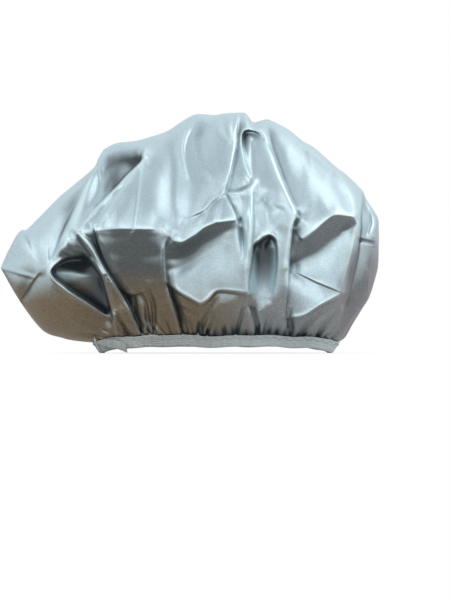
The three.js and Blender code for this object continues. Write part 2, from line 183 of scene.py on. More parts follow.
# Outline of the crown seen from the front, as (x, z)
LEFT_SIDE = [(-97, 9.7), (-112, 9.9), (-123, 12), (-139, 18.4), (-157, 41.6), (-172.3, 68)]
RIGHT_SIDE = [(97, 9.7), (103, 13.6), (110, 24), (116.8, 35), (123, 45.6), (128.8, 64.8), (130, 73.6)]
TOP_EDGE = [
    (-172.3, 68), (-168, 78), (-163, 88), (-159, 95), (-155, 98.6), (-151, 99.2), (-139, 111),
    (-124, 126), (-99, 147), (-94.4, 155), (-91, 161), (-88, 164), (-79, 168), (-65, 169.6),
    (-53, 172.8), (-39, 177.6), (-25.6, 186.4), (-16.8, 190.8), (-9.6, 191), (-0.8, 190.4),
    (8, 191.8), (20.8, 192.3), (24, 191.5), (26.8, 188), (28.8, 185.2), (32, 184.8), (36.8, 186.2),
    (43, 186.4), (57.6, 179), (69.6, 169.6), (79, 164), (96, 149), (104, 143), (116.8, 130.4),
    (120, 123.5), (128.8, 109.6), (130.4, 100), (130, 73.6),
]

# Folds of the front, as lines of (x, z, depth): depth is how far the cloth stands towards the viewer
FRONT_FOLDS = {
    "peak ridge": [(-17.5, 192, 5), (-18, 183.5, 20), (-22.5, 172.5, 34), (-24, 161.5, 46),
        (-23.5, 150.5, 55), (-21, 141.5, 61)],
    "loop": [(30, 137, 72), (26, 143.5, 66), (22.5, 154, 57), (20.5, 165, 46), (20.5, 172.5, 38),
        (22.5, 176.5, 33), (27, 177.5, 31), (33, 176, 32), (38, 172.5, 36), (42, 165, 43), (46, 157, 51),
        (49, 148, 60), (56.5, 128, 76), (64.5, 109.5, 90)],
    "hook": [(30, 137, 72), (27, 132, 77), (19.5, 128, 78), (11.5, 127.5, 76), (7, 126.5, 74)],
    "node crease": [(7, 126.5, 74), (-2.5, 120, 81), (-10, 112.5, 85), (-21, 107.5, 87)],
    "middle ledge": [(16.5, 105, 92), (10.5, 104, 93), (0, 102.5, 94), (-9, 99, 94), (-17, 92.5, 92),
        (-25, 88, 89), (-29, 86.5, 87), (-33.5, 89, 86), (-36, 91.5, 87), (-38.5, 91, 88)],
    "middle roll": [(-37.5, 56, 71), (-28.5, 48.5, 77), (-19.5, 43, 80), (-14, 39, 81), (-11, 38.5, 81),
        (-5.5, 43, 81), (1, 49.5, 80), (5, 50, 80), (15, 49, 81), (23, 47.5, 82)],
    "centre ridge": [(28.5, 129.5, 84), (27.5, 118.5, 88), (27.5, 109.5, 90), (28, 100, 92),
        (27.5, 87, 91), (25.5, 70.5, 88), (24.5, 57.5, 85), (25, 48, 82), (24.5, 45, 79), (25.5, 36, 70),
        (29.5, 24, 58), (32.5, 17.5, 50)],
    "strip by the hollow": [(53.5, 103, 88), (52, 90.5, 86), (49, 65, 79), (43, 41.5, 70), (41, 28, 60)],
    "right seam": [(64.5, 109.5, 90), (63, 105.5, 90), (61, 97, 89), (59, 80.5, 85), (58, 68, 82),
        (57.5, 50.5, 76), (55.5, 31, 63)],
    "right ledge": [(62.5, 97, 84), (68.5, 89, 86), (77, 94.5, 88), (93, 108, 86), (107.5, 108.5, 76),
        (112, 108, 70)],
    "under the right ledge": [(59, 70, 67), (81.5, 82, 64), (99, 95, 61), (111, 104, 64)],
    "right facet crease": [(60, 65.5, 69), (81.5, 55.5, 75), (100, 47.5, 67)],
    "right roll": [(56.5, 30, 64), (64, 26.5, 67), (74.5, 31, 73), (86, 39.5, 75), (99, 45, 67)],
    "right turn": [(112, 108, 70), (111, 85.5, 64), (106.5, 68.5, 60), (102.5, 51, 60), (99, 45, 65)],
    "right front edge": [(117, 129, 8), (117, 122.5, 24), (115.5, 110.5, 44), (115, 98.5, 50),
        (113.5, 85, 50), (111, 68, 47), (106.5, 50.5, 43), (101.5, 34.5, 36), (97, 20, 28)],
    "wing top": [(-99, 147, 6), (-111, 122.5, 30), (-124, 89.5, 44), (-132, 73, 46)],
    "wing crease": [(-172, 68, 0), (-157, 63.5, 15), (-144.5, 60.5, 26)],
    "wing boundary": [(-133.5, 72, 45), (-138.5, 68, 38), (-144.5, 59, 27), (-156, 41.5, 1)],
    "rim of the brown panel": [(-100.5, 75, 56), (-109, 77, 53), (-118.5, 75, 50), (-127, 70, 48),
        (-130.5, 65.5, 47), (-129.5, 62, 47), (-125, 56.5, 47), (-115.5, 49.5, 46), (-102.5, 40.5, 44),
        (-94.5, 35.5, 42), (-90, 32.5, 40), (-84, 28, 37), (-80, 22.5, 33), (-79, 15, 29)],
    "left pleat": [(-93, 158.5, 12), (-101.5, 137, 36), (-111.5, 110.5, 52), (-121.5, 87.5, 58),
        (-118.5, 79.5, 57), (-111.5, 77.5, 56)],
    "left pleat's other rib": [(-87.5, 160.5, 8), (-85.5, 144, 36), (-87, 127.5, 53), (-93, 117, 60)],
    "pocket edge": [(-56, 160.5, 36), (-61, 152, 46), (-72, 140, 57), (-85, 126.5, 65), (-98, 112.5, 71),
        (-110.5, 96, 76)],
    "pocket top": [(-88, 164, 2), (-78.5, 162, 14), (-68, 160.5, 25), (-58.5, 160, 35)],
    "panel bevel": [(-72, 139, 60), (-87.5, 115.5, 76), (-96, 100, 82)],
    "needle pleat": [(-109.5, 95, 77), (-99.5, 79.5, 75), (-94.5, 70.5, 72), (-88, 58.5, 66),
        (-84, 42.5, 56), (-81, 28, 44)],
    "left ledge": [(-110.5, 96, 76), (-96, 97.5, 82), (-85, 98, 86), (-70.5, 98, 89), (-53, 98, 91),
        (-45, 98, 91)],
    "left middle pleat": [(-38.5, 92, 88), (-41, 84, 84), (-41.5, 73, 79), (-39.5, 58.5, 71),
        (-36, 45.5, 64), (-31.5, 32, 54), (-28, 16.5, 43)],
    "broad ridge": [(-56, 160, 38), (-52, 147, 54), (-45, 124, 75), (-39, 94, 90)],
    "first turn under the middle ledge": [(14, 102, 90), (8, 100.3, 88), (0, 98.5, 87), (-9, 94.5, 85.5),
        (-17, 88, 83), (-25, 83.5, 80), (-30, 82, 78), (-36, 82, 78)],
    "second turn under the middle ledge": [(14, 98, 88), (8, 95.5, 84.5), (0, 93, 82), (-9, 88.5, 79),
        (-17, 82, 76), (-25, 77.5, 73), (-30, 76, 71.5), (-37, 75, 73)],
    "third turn under the middle ledge": [(12, 90, 86), (0, 85, 80.5), (-9, 79, 76.5), (-17, 72.5, 73),
        (-25, 68.5, 70.5), (-30, 67, 69.5), (-37, 66, 71)],
    "first turn under the left ledge": [(-94, 94, 78), (-85, 94, 81.5), (-70, 94, 84.5), (-53, 94, 86.5),
        (-45, 94, 87.5)],
    "second turn under the left ledge": [(-90, 81, 75), (-83, 78.5, 74.6), (-77, 78, 74), (-70, 78, 73.8),
        (-55, 78, 75.6), (-47, 78, 78.2), (-42, 78, 81)],
    "third turn under the left ledge": [(-78, 61, 62.2), (-70, 60, 62.2), (-55, 60, 64), (-47, 60, 67),
        (-43, 59.5, 69.2)],
    "fourth turn under the left ledge": [(-69, 44.5, 51.6), (-62, 42.5, 51), (-55, 41, 50.8),
        (-47, 42, 53.8), (-43, 43, 56.2)],
    "fifth turn under the left ledge": [(-65, 30, 42.6), (-60, 29, 42.2), (-55, 28, 42.2),
        (-48, 29, 44.6)],
}

# Valleys that turn in a wide curve, as lines of (x, z, share of the rounding)
FRONT_BENDS = {
    "under the right ledge": [(62, 72, 0.3), (81.5, 82, 0.5), (99, 95, 0.3)],
    "broad ridge": [(-52, 147, 1), (-45, 124, 1), (-41, 104, 1)],
    "peak ridge": [(-22.5, 172.5, 1), (-24, 161.5, 1), (-21, 141.5, 1)],
    "node crease": [(-6, 116, 0.6), (-14, 110.5, 1), (-22, 107.5, 1)],
    "left pleat's other rib": [(-86, 150, 0.3), (-87, 127.5, 0.6), (-93, 117, 1)],
    "panel bevel": [(-78, 130, 1), (-87.5, 115.5, 1), (-93, 105, 0.6)],
}

# Laps, as a width and a line of (x, z, drop): the cloth to the right of the line, as one walks along it,
# lies lower by the drop and comes up again over the width
FRONT_LAPS = {
    "groove": (14, [(8, 129, 2), (12.3, 146, 6), (16, 164, 7), (16.8, 176, 7), (18.6, 191, 4)]),
    "inside of the loop": (12, [(26, 143.5, 2), (22.5, 154, 4), (20.5, 165, 6), (20.5, 172.5, 7),
        (22.5, 176.5, 8), (27, 177.5, 8), (33, 176, 7), (38, 172.5, 4), (42, 165, 2)]),
    "right of the loop": (24, [(64.5, 111, 3.5), (56.5, 128, 4), (49, 148, 3.6), (46, 157, 3.2),
        (42, 165, 3), (39, 171, 1.5)]),
    "above the hook": (16, [(30, 137, 2), (27, 132.5, 5), (19.5, 128.5, 5), (11.5, 128, 2)]),
    "right of the node": (10, [(17.5, 105.5, 5), (13, 116, 6), (8, 125, 2)]),
    "right of the centre ridge": (14, [(28.8, 85, 3), (29.6, 100, 4), (29.8, 118, 4), (30, 128, 3)]),
    "brow of the hollow": (30, [(27, 38, 0.5), (26, 50, 3), (26.5, 62, 6), (28.5, 76, 8), (30.5, 85, 10),
        (35, 88.5, 12), (41.5, 92.8, 12), (45.5, 91, 9), (48, 84, 5.5), (48.5, 74, 3.4), (47.5, 62, 1.6),
        (44, 42, 0.3)]),
    "right of the seam": (10, [(55.5, 32, 2), (57.5, 50.5, 4), (58, 68, 6), (59.5, 86.5, 9),
        (61, 97.5, 7), (64.5, 110.5, 3)]),
    "edge of the right ledge": (22, [(63.5, 96, 0.5), (69, 89.5, 3), (77, 94.5, 4), (85, 102, 4),
        (93, 108.3, 4), (101, 108.6, 3), (109, 108, 1.5)]),
    "under the right crease": (14, [(60.5, 65.3, 0.8), (81.5, 55.5, 3.5), (97.5, 49, 2)]),
    "under the right roll": (14, [(57, 28.5, 4), (63, 27.5, 7), (72, 30, 8), (82, 37, 8), (92, 42.5, 7),
        (99, 46, 4)]),
    "right of the front edge": (20, [(97, 20, 2), (101.5, 34.5, 4), (106.5, 50.5, 5), (111, 68, 6),
        (113.5, 85, 6), (115, 98.5, 6), (115.5, 110.5, 5), (117, 122.5, 3)]),
    "left of the white strip": (5, [(120, 121.5, 2), (124, 106.5, 4), (122, 97.5, 3)]),
    "left of the pleat": (16, [(-99.5, 147, 1.5), (-110, 121, 3), (-120, 99, 3.5), (-129, 78, 3)]),
    "under the wing": (14, [(-156.5, 42, 2), (-150, 51, 3), (-143.5, 60, 3)]),
    "pocket of the brown panel": (40, [(-90, 32.5, 10), (-102.5, 41, 13), (-115.5, 49.5, 14),
        (-125, 57, 14), (-129.5, 61.5, 14), (-130.5, 65.5, 14), (-127, 70, 14), (-118.5, 75, 14),
        (-109, 77, 14)]),
    "left of the low pleat": (30, [(-103, 77, 12), (-98, 71.5, 18), (-94.5, 66.5, 22), (-90, 58.5, 24),
        (-85.5, 42, 18), (-82.5, 30, 8)]),
    "left of the needle": (9, [(-109.5, 93.5, 8), (-105, 86.5, 11), (-100, 79, 8)]),
    "right of the needle": (8, [(-58.5, 15, 3), (-66.5, 32, 10), (-74.5, 47, 13), (-80.5, 55.5, 10),
        (-86.5, 65.5, 8), (-93, 78, 8), (-99, 88, 6), (-106.5, 94.5, 2)]),
    "left end of the panel": (8, [(-96, 97, 6), (-92.5, 82.5, 8), (-89, 73, 6), (-84, 65, 3)]),
    "right of the middle pleat": (7, [(-27.5, 16, 5), (-31.5, 32, 11), (-36, 45.5, 11), (-39.5, 58.5, 6),
        (-41, 73, 3), (-40.5, 85, 2.5), (-38, 91, 1)]),
    "under the middle roll": (14, [(-37.5, 54, 4), (-28.5, 47, 6), (-19.5, 41.5, 6), (-12, 37.5, 6),
        (-5.5, 42, 6), (1, 48.5, 6), (12, 48.5, 6), (22, 46.5, 4)]),
    "soft crease": (14, [(-60, 151, 1), (-61.2, 126.5, 2.5), (-64.8, 99.5, 2)]),
    "pocket": (28, [(-58, 159, 5), (-61, 152, 10), (-72, 140, 10), (-85, 126.5, 8), (-98, 112.5, 5),
        (-110.5, 96, 3)]),
    "under the node crease": (10, [(-21, 107.5, 1), (-10, 112.5, 2.5), (-2.5, 120, 3), (6, 126, 2)]),
    "edge of the left ledge": (10, [(-96, 97, 0.3), (-85, 97.8, 0.8), (-70.5, 97.8, 0.8),
        (-53, 97.8, 0.8), (-46, 97.8, 0.3)]),
    "edge of the middle ledge": (10, [(-36, 91, 0.5), (-29, 86.5, 1.6), (-17, 92.5, 2), (-9, 99, 2),
        (0, 102.5, 2), (10.5, 104, 1.6), (16, 105, 0.6)]),
    "right of the peak": (14, [(-17, 133, 0.2), (-21.5, 143, 1), (-24.3, 154, 2), (-25, 164, 2.6),
        (-23, 173, 2.4), (-18.2, 183, 1.6), (-17, 190, 0.4)]),
    "under the lobe": (13, [(-80, 55.5, 0.3), (-77, 51.5, 2.4), (-72, 47.5, 4.6), (-66, 46, 4.6),
        (-60, 47.5, 2.8), (-56, 49.5, 0.5)]),
}

# Soft hollows, as a width and a line of (x, z, depth). A negative depth is a rib.
FRONT_HOLLOWS = {
    "inside of the pocket": (6, [(-84, 157, 1), (-75, 154, 3.5), (-67, 153, 6.5), (-61, 155.5, 8)]),
    "foot of the pocket": (6, [(-78, 152, 1.5), (-78, 144, 3.5), (-82, 136, 3.5), (-89, 125, 2.5),
        (-95, 116, 1)]),
    "rib by the wing": (4.5, [(-93, 154, -1.5), (-102, 131, -2.8), (-111.5, 109, -3.2),
        (-118.5, 93, -3)]),
    "between the wing's ribs": (4, [(-90, 144, 2), (-95, 127, 3), (-102, 112, 2)]),
    "curl of the left pleat": (1.6, [(-120.5, 88, -2), (-119.5, 82.5, -2.5), (-115.5, 78.3, -2.5),
        (-108.5, 76.8, -2)]),
    "crease of the wing": (1.2, [(-169, 67.5, -0.8), (-157, 64, -1.2), (-145, 60.5, -1)]),
    "beside the broad ridge": (8.5, [(-36, 171, 2), (-33.5, 155, 5), (-33.5, 129, 6), (-32.5, 106, 5),
        (-31.5, 96, 2.5)]),
    "rib of the peak": (5, [(-17, 190, -0.5), (-18.5, 182, -1.6), (-23, 173, -2.2), (-25, 163, -2),
        (-24, 152, -1.6), (-20.5, 141, -0.8), (-15, 130, 0)]),
    "right of the peak": (6.5, [(-11, 182, 3), (-13, 164, 5), (-9, 146, 3)]),
    "stripe below the top": (2.4, [(1.5, 188, -1.5), (4, 178, -2.2), (8.5, 169.5, -1.5)]),
    "crease by the groove": (1, [(8, 168.4, 0.8), (15, 167.3, 1)]),
    "valley by the loop": (4.6, [(40, 188, 4), (41.5, 178, 5), (44.5, 168, 4), (49, 156, 2.2),
        (54.5, 142, 1)]),
    "rib of the loop": (1.7, [(29.5, 138, -1), (26, 143.5, -2.6), (22.5, 154, -3.2), (20.5, 165, -3.2),
        (20.5, 172.5, -3.2), (22.5, 176.5, -3), (27, 177.5, -3), (33, 176, -2.8), (38, 172.5, -2)]),
    "right rib of the loop": (3.5, [(38, 170, -1.5), (42, 160, -2.5), (48.5, 142, -2.5), (55, 126, -2.5),
        (60.5, 112, -2)]),
    "rib of the hook": (1.6, [(30, 137, -1), (27, 132, -2.2), (19.5, 128, -2.2), (11.5, 127.5, -1.5)]),
    "upper right crease": (1.3, [(70.5, 167, 0.6), (71.5, 161, 2), (73, 154, 2), (74.5, 148, 0.4)]),
    "upper right rib": (1.8, [(75.5, 163, -0.5), (80, 158.5, -1.3), (85, 154, -0.5)]),
    "upper right hollow": (5, [(75, 162, 2), (80, 154, 3), (86, 146, 3)]),
    "left of the upper right ridge": (5, [(94, 141, 3), (101.5, 126, 5), (106, 113, 3.5)]),
    "upper right ridge": (3, [(98.5, 143, -1), (107.5, 124, -2), (111, 112, -1)]),
    "slot by the centre ridge": (2.2, [(19, 104, 2.5), (20.5, 93.5, 6), (22, 78.5, 2)]),
    "strip of the centre ridge": (2, [(28, 122, -0.8), (27.4, 105, -2.4), (27, 85, -2.4),
        (25.5, 70, -0.3)]),
    "right of the centre ridge": (6, [(33, 126, 4), (40, 121, 5), (46, 117, 3)]),
    "left of the hollow": (5.5, [(34, 84, 2.5), (33.5, 77, 6.2), (33, 66, 6.8), (32.5, 54, 5.6),
        (32.5, 42, 2.6), (33, 33, 0)]),
    "middle of the hollow": (5.5, [(39, 87, 3), (38.5, 78, 6.2), (38, 66, 6.8), (37.5, 54, 5.6),
        (37, 42, 2.6), (37, 33, 0)]),
    "right of the hollow": (5.5, [(43.5, 86, 3), (43.5, 78, 6.8), (43, 66, 7.2), (42, 54, 5.6),
        (41, 44, 2)]),
    "slot by the seam": (1.2, [(64, 111, 2), (65, 107, 3.5), (63, 102.5, 3)]),
    "below the right roll": (2.4, [(88, 33, -0.8), (82, 27, -3.4), (77, 20, -3.2), (74, 14.5, -2)]),
    "right of the low rib": (2.2, [(95, 34, 1.5), (88, 25, 4), (82, 15, 4)]),
    "bar of the side": (1.5, [(116, 89.5, 3), (124.5, 87.5, 3)]),
    "rib of the side": (1.6, [(121.5, 65.5, -2), (120.5, 48, -2)]),
    "strip of the side": (2, [(112, 33.5, -3), (98, 13.5, -3)]),
    "leaf by the tack": (1.4, [(-85.5, 29, -1.2), (-82, 25.5, -2.6), (-79.5, 20, -2.5), (-79, 15, -1.5)]),
    "pleat 1": (1.5, [(-77.5, 29, 3), (-70, 13.5, 4)]),
    "pleat 2": (1.3, [(-72, 21, 2), (-66.5, 13.5, 3)]),
    "pleat 3": (1.6, [(-61, 47.5, 1.5), (-55.5, 38, 3), (-53, 15, 5)]),
    "pleat 4": (1.7, [(-54, 50, 1.5), (-49.8, 37, 3.5), (-49.3, 14, 5)]),
    "pleat 5": (2.4, [(0, 42, 2), (-8.8, 26.5, 5), (-14, 15.5, 5)]),
    "pleat 6": (1.6, [(-2, 29, 3), (-7.5, 13.5, 4)]),
    "pleat 7": (1.5, [(21.5, 34.5, 3), (15.5, 14.5, 4)]),
    "pleat 8": (2.2, [(29, 35, 6), (33, 18.5, 7)]),
    "low light rib": (1.2, [(35, 31, -0.3), (35.6, 20.8, -2), (38, 15, -1)]),
    "pleat 9": (2.2, [(58, 29, 6), (59, 21, 6)]),
    "pleat 10": (2, [(76, 28, 2.5), (71, 21, 4.5), (68, 14, 4.5)]),
    "face of the broad ridge": (8, [(-55, 148, -1), (-51.5, 130, -2.2), (-48, 110, -2.2),
        (-45, 101, -1)]),
    "second stripe below the top": (2, [(11.5, 188, -1.5), (10.5, 180, -1.8), (12, 172, -1)]),
    "inside of the loop": (7.5, [(29, 168, 3), (32, 155, 4.4), (37, 142, 4.4), (42, 128, 3.2),
        (46, 118, 1.5)]),
    "below the centre's hollow": (7, [(36, 118, 4), (41, 107, 6), (44, 98, 3)]),
    "strip of the bevel": (5, [(-66, 144, 2), (-77, 130, 4), (-89, 114, 4.5), (-100, 102, 2.5)]),
    "line of the bevel": (1.4, [(-67, 138, -0.6), (-80, 121, -1.2), (-91, 103, -1.2)]),
    "first facet by the node": (1.8, [(4.5, 123.5, -1.2), (0.7, 106.5, -1.5)]),
    "second facet by the node": (1.8, [(-7, 115.5, -1), (-10.5, 106, -1.3)]),
    "pleat of the lobe": (1.5, [(-64.8, 45, 1.5), (-64, 31.5, 3), (-58, 15.5, 4)]),
    "fold by the middle pleat": (1.8, [(-28.5, 37, 1.5), (-18, 30.5, 2.2)]),
    "edge of the peak": (2, [(-17, 190, 0), (-18.2, 183, -0.8), (-23, 173, -1.3), (-25, 164, -1.2),
        (-24.3, 154, -0.8), (-21.5, 143, -0.3), (-17, 133, 0)]),
    "white strip of the side": (3.5, [(121, 124, -1.5), (126.5, 108, -4), (125.5, 95, -3)]),
    "edge of the middle pleat": (1, [(-37.5, 91, -0.6), (-41, 84, -1.2), (-41.5, 73, -1.5),
        (-39.5, 58.5, -1.5), (-36, 45.5, -1.3), (-31.5, 32, -0.8)]),
    "right of the middle facet": (8, [(9, 88, 0.5), (8, 76, 2), (6, 62, 0.5)]),
    "line by the loop": (1.1, [(42.5, 170, 0.5), (48, 157, 1.3), (51.5, 147, 1.5), (58.5, 129, 1.7),
        (65.5, 112, 1.5)]),
    "valley of the front edge": (2.2, [(114, 106, 2), (113.2, 92, 4.5), (110, 72, 5), (105.5, 54, 5),
        (101, 40, 3)]),
}

# Folds of the back
BACK_FOLDS = {
    "back left ridge": [(-52, 170, 22), (-66, 140, 55), (-78, 104, 82), (-86, 60, 70), (-84, 24, 40)],
    "back left valley": [(-34, 160, 42), (-42, 120, 70), (-50, 84, 74), (-52, 46, 56)],
    "back middle ridge": [(0, 184, 20), (-4, 150, 62), (-8, 108, 94), (-10, 72, 86), (-12, 34, 60)],
    "back ledge": [(-4, 100, 96), (28, 104, 96), (58, 106, 92), (86, 102, 80), (108, 94, 60)],
    "back under ledge": [(2, 84, 80), (34, 84, 76), (64, 82, 74), (90, 78, 62)],
    "back right roll": [(14, 44, 72), (44, 36, 74), (72, 40, 68), (96, 48, 52)],
    "back right valley": [(44, 160, 48), (46, 134, 68), (44, 116, 80)],
    "back right ridge": [(62, 160, 42), (72, 134, 66), (80, 112, 78)],
    "back wing ridge": [(-150, 88, 16), (-128, 84, 40), (-104, 88, 64)],
    "back wing valley": [(-142, 68, 18), (-122, 62, 36), (-102, 58, 50)],
    "back low roll": [(-118, 34, 34), (-92, 32, 50), (-64, 38, 62)],
}

# Gathers above the tape: valleys of the front by their place along the hem, as x, and how all of them vary
FRONT_GATHERS = [-88, -79, -72, -68, -58, -51, -47, -41, -36, -26, -22, -18, -14, -10, -6, -1, 7, 14, 17,
                 24, 32, 38, 42, 48, 54, 59, 65, 70, 74, 80, 86, 91]
BACK_GATHER_PITCH = 6.2
BACK_GATHER_ENDS = (4, 2)
BACK_GATHER_SCATTER = 1.8
GATHER_SEED = 11
GATHER_REACH = (9, 26)
GATHER_LEAN = 0.12
GATHER_DEPTH = 2.6
GATHER_DEPTH_SHARES = (0.6, 1.25)
GATHER_LOW_WIDTH = 1.1
GATHER_SPREAD = 0.07
GATHER_FADE_POWER = 1.6
GATHER_START = 1.6
PUFF_SHARE = 0.55
PUFF_REACH = 12
PUFF_START = 1.2

# Small waves of the cloth, as (width, height, place in the noise, size), and the shares where they fade
CRUMPLES = ((17, 24, 3.1, 0.55), (7, 11, 7.7, 0.2))
CRUMPLE_FADE_UP = 0.06
CRUMPLE_FADE_ACROSS = 0.04

# Tones of the cloth, as (dark, light) or a single colour: its own silver, and painted shade, painted
# reflections and painted highlights
SILVER = ((0.5, 0.625, 0.675), (0.59, 0.725, 0.775))
# Painted shade on faces that turn down: grey, and a lighter grey towards the right
PAINTED_GREY_SHADE = ((0.07, 0.08, 0.081), (0.102, 0.115, 0.117))
PAINTED_RIGHT_GREY_SHADE = ((0.125, 0.135, 0.143), (0.18, 0.193, 0.204))
# Painted brown reflection and shade, low on the left
PAINTED_BROWN_REFLECTION = ((0.13, 0.1, 0.062), (0.19, 0.147, 0.095))
# Painted shade on faces that turn down, low on the right: pale, and dusky further right
PAINTED_PALE_SHADE = ((0.2, 0.215, 0.225), (0.27, 0.29, 0.3))
PAINTED_DUSK_SHADE = ((0.15, 0.158, 0.162), (0.24, 0.252, 0.258))
# Painted shade in creases and hollows
PAINTED_CREASE_SHADE = (0.072, 0.085, 0.091)
# Painted highlight on ribs
PAINTED_RIB_HIGHLIGHT = (0.74, 0.92, 0.95)
# Painted mauve reflection and shade, low on faces that turn right
PAINTED_MAUVE_SHADE = (0.13, 0.112, 0.123)

# Where those tones change, as (from, to): places in metres, facings as shares, depths in millimetres
LOW_PART = (0.04, 0.075)
BROWN_TO_PALE = (-0.02, 0.06)
GREY_TO_RIGHT = (-0.02, 0.07)
PALE_TO_DUSK = (0.054, 0.062)
MAUVE_START = (0.08, 0.11)
MAUVE_TOP = (0.066, 0.116)
MAUVE_FACING = (0.45, 0.9)
PAINTED_SHADE_FACING = (0.0, 0.5)
BROWN_REFLECTION_FACING = (-0.45, 0.3)
CREASE_DEPTH = (0.5, 4.5)
HOLLOW_DEPTH = (1.7, 9.0)
RIB_DEPTH = (0.2, 1.8)

# Tones of the other pieces
YARN = ((0.28, 0.295, 0.285), (0.43, 0.455, 0.44))
LIGHT_PATCH = (0.52, 0.555, 0.54)
# Painted shade of wrinkles across the tape
PAINTED_WRINKLE_SHADE = (0.2, 0.21, 0.2)
RIGHT_TAPE = (0.62, 0.7, 0.7)
TAPE_TO_RIGHT = (-0.06, 0.06)
# Painted highlight on the tape's upper edge
PAINTED_TAPE_HIGHLIGHT = (0.78, 0.88, 0.88)
FILM = ((0.6, 0.64, 0.66), (0.7, 0.73, 0.74))
ELASTIC = ((0.62, 0.61, 0.58), (0.78, 0.77, 0.74))
HEM_THREAD = ((0.33, 0.37, 0.37), (0.48, 0.53, 0.53))
TACK_THREAD = ((0.7, 0.75, 0.76), (0.86, 0.9, 0.9))

# Stage, in metres: the floor, and the room and wall as (low, high) tones
FLOOR_REACH = 6.0
FLOOR = ((0.9, 0.9, 0.9), (0.94, 0.94, 0.94))
FLOOR_WHITENS = (0.08, 0.16)
FLOOR_LEAST_WHITE = 0.7
ROOM = ((0.7, 0.73, 0.75), (0.42, 0.45, 0.47))
WALL = ((0.2, 0.225, 0.25), (0.92, 0.96, 0.98))
WHITE = (1, 1, 1)

# Lamps, as a place, a size and a power in watts, and the point that they face
LAMP_AIM = (0, 0, 0.1)
LAMPS = {
    "key": ((0.3, -2.2, 1.3), 2.4, 16),
    "right": ((1.6, 0.2, 1.9), 2.2, 20),
    "left": ((-1.9, -0.5, 1.3), 1.6, 9),
}

# Camera: millimetres to a pixel, the image's middle as (x, z), its height in pixels and a distance
PIXEL = 0.8
IMAGE_MIDDLE = (7.2, 42.4)
IMAGE_HEIGHT = 600
CAMERA_DISTANCE = 8.0


def spline(points, step):
    """Points along a smooth curve through the given ones, about a step apart."""
    points = np.array(points, float)
    padded = np.vstack([2 * points[0] - points[1], points, 2 * points[-1] - points[-2]])
    runs = []
    for k in range(1, len(padded) - 2):
        a, b, c, d = padded[k - 1], padded[k], padded[k + 1], padded[k + 2]
        count = max(2, int(np.linalg.norm(c[:2] - b[:2]) / step))
        t = np.linspace(0, 1, count, endpoint=False)[:, None]
        run = 0.5 * (2 * b + (c - a) * t + (2 * a - 5 * b + 4 * c - d) * t ** 2
                     + (3 * b - a - 3 * c + d) * t ** 3)
        runs.append(run)
    runs.append(points[-1:])
    return np.vstack(runs)


def unit(vectors):
    """Vectors brought to a length of 1."""
    return vectors / np.linalg.norm(vectors, axis=-1, keepdims=True)


def run_lengths(points):
    """How far along a polyline each of its points lies."""
    return np.r_[0, np.cumsum(np.linalg.norm(np.diff(points, axis=0), axis=1))]


def spaced(points, count):
    """A polyline's points, spaced evenly along its length."""
    length = run_lengths(points)
    at = np.linspace(0, length[-1], count)
    return np.column_stack([np.interp(at, length, points[:, k]) for k in range(points.shape[1])])


def hem_lift(angle):
    """Height of the hem's lower edge above the table."""
    share = np.abs(np.cos(angle)) / ARCH_REACH
    return HEM_ARCH * np.maximum(0, 1 - share ** ARCH_POWER)


def hem_spot(angle, outward, up):
    """A point of the hem, moved out from its middle line and up from its lower edge."""
    angle = np.asarray(angle, float)
    normal = unit(np.stack([np.cos(angle) / HEM_HALF_WIDTH, np.sin(angle) / HEM_HALF_DEPTH], -1))
    lean = HEM_LEAN * np.cos(angle) ** LEAN_POWER * np.clip(1 - up / BAND_HEIGHT, 0, 1)
    lift = hem_lift(angle)
    waves = sum(share * np.sin(count * angle + start) for count, share, start in HEM_WAVES)
    wave = HEM_WAVE * waves * lift / HEM_ARCH
    x = HEM_HALF_WIDTH * np.cos(angle) + normal[..., 0] * (outward - lean)
    y = HEM_HALF_DEPTH * np.sin(angle) + normal[..., 1] * (outward - lean)
    return np.stack([x, y, lift + wave + up], -1)


def hem_angles(side, count):
    """Angles from the hem's left end to its right end, evenly spaced along the front or back."""
    turn = np.linspace(math.pi, 2 * math.pi if side < 0 else 0, HEM_SAMPLES)
    length = run_lengths(hem_spot(turn, 0, 0)[:, :2])
    return np.interp(np.linspace(0, length[-1], count), length, turn)


def round_angles(start, turn, step):
    """Angles round the hem from a start, about a step apart along its length."""
    fine = np.linspace(start, start + turn, LOOP_SAMPLES)
    length = run_lengths(hem_spot(fine, 0, 0)[:, :2])
    count = int(length[-1] / step)
    return np.interp(np.linspace(0, length[-1], count + 1), length, fine)


def patch(bottom, top, left, right):
    """A grid of points that fills four edges."""
    u = np.linspace(0, 1, len(bottom))[None, :, None]
    v = np.linspace(0, 1, len(left))[:, None, None]
    across = (1 - v) * bottom[None] + v * top[None]
    along = (1 - u) * left[:, None] + u * right[:, None]
    corners = ((1 - u) * (1 - v) * bottom[0] + u * (1 - v) * bottom[-1]
               + (1 - u) * v * top[0] + u * v * top[-1])
    return across + along - corners


def fold_depths(plan, folds):
    """Which grid points lie on a fold line, and the swollen depth of the folds there."""
    rows, columns = plan.shape[:2]
    tree = kdtree.KDTree(rows * columns)
    for index, spot in enumerate(plan.reshape(-1, 2)):
        tree.insert((spot[0], spot[1], 0), index)
    tree.balance()
    total = np.zeros(rows * columns)
    hits = np.zeros(rows * columns)
    for line in folds.values():
        for x, z, depth in spline(line, FOLD_STEP):
            index = tree.find((x, z, 0))[1]
            total[index] += max(depth, 0) ** SWELL_POWER
            hits[index] += 1
    fixed = (hits > 0).reshape(rows, columns)
    return fixed, np.where(hits > 0, total / np.maximum(hits, 1), 0).reshape(rows, columns)


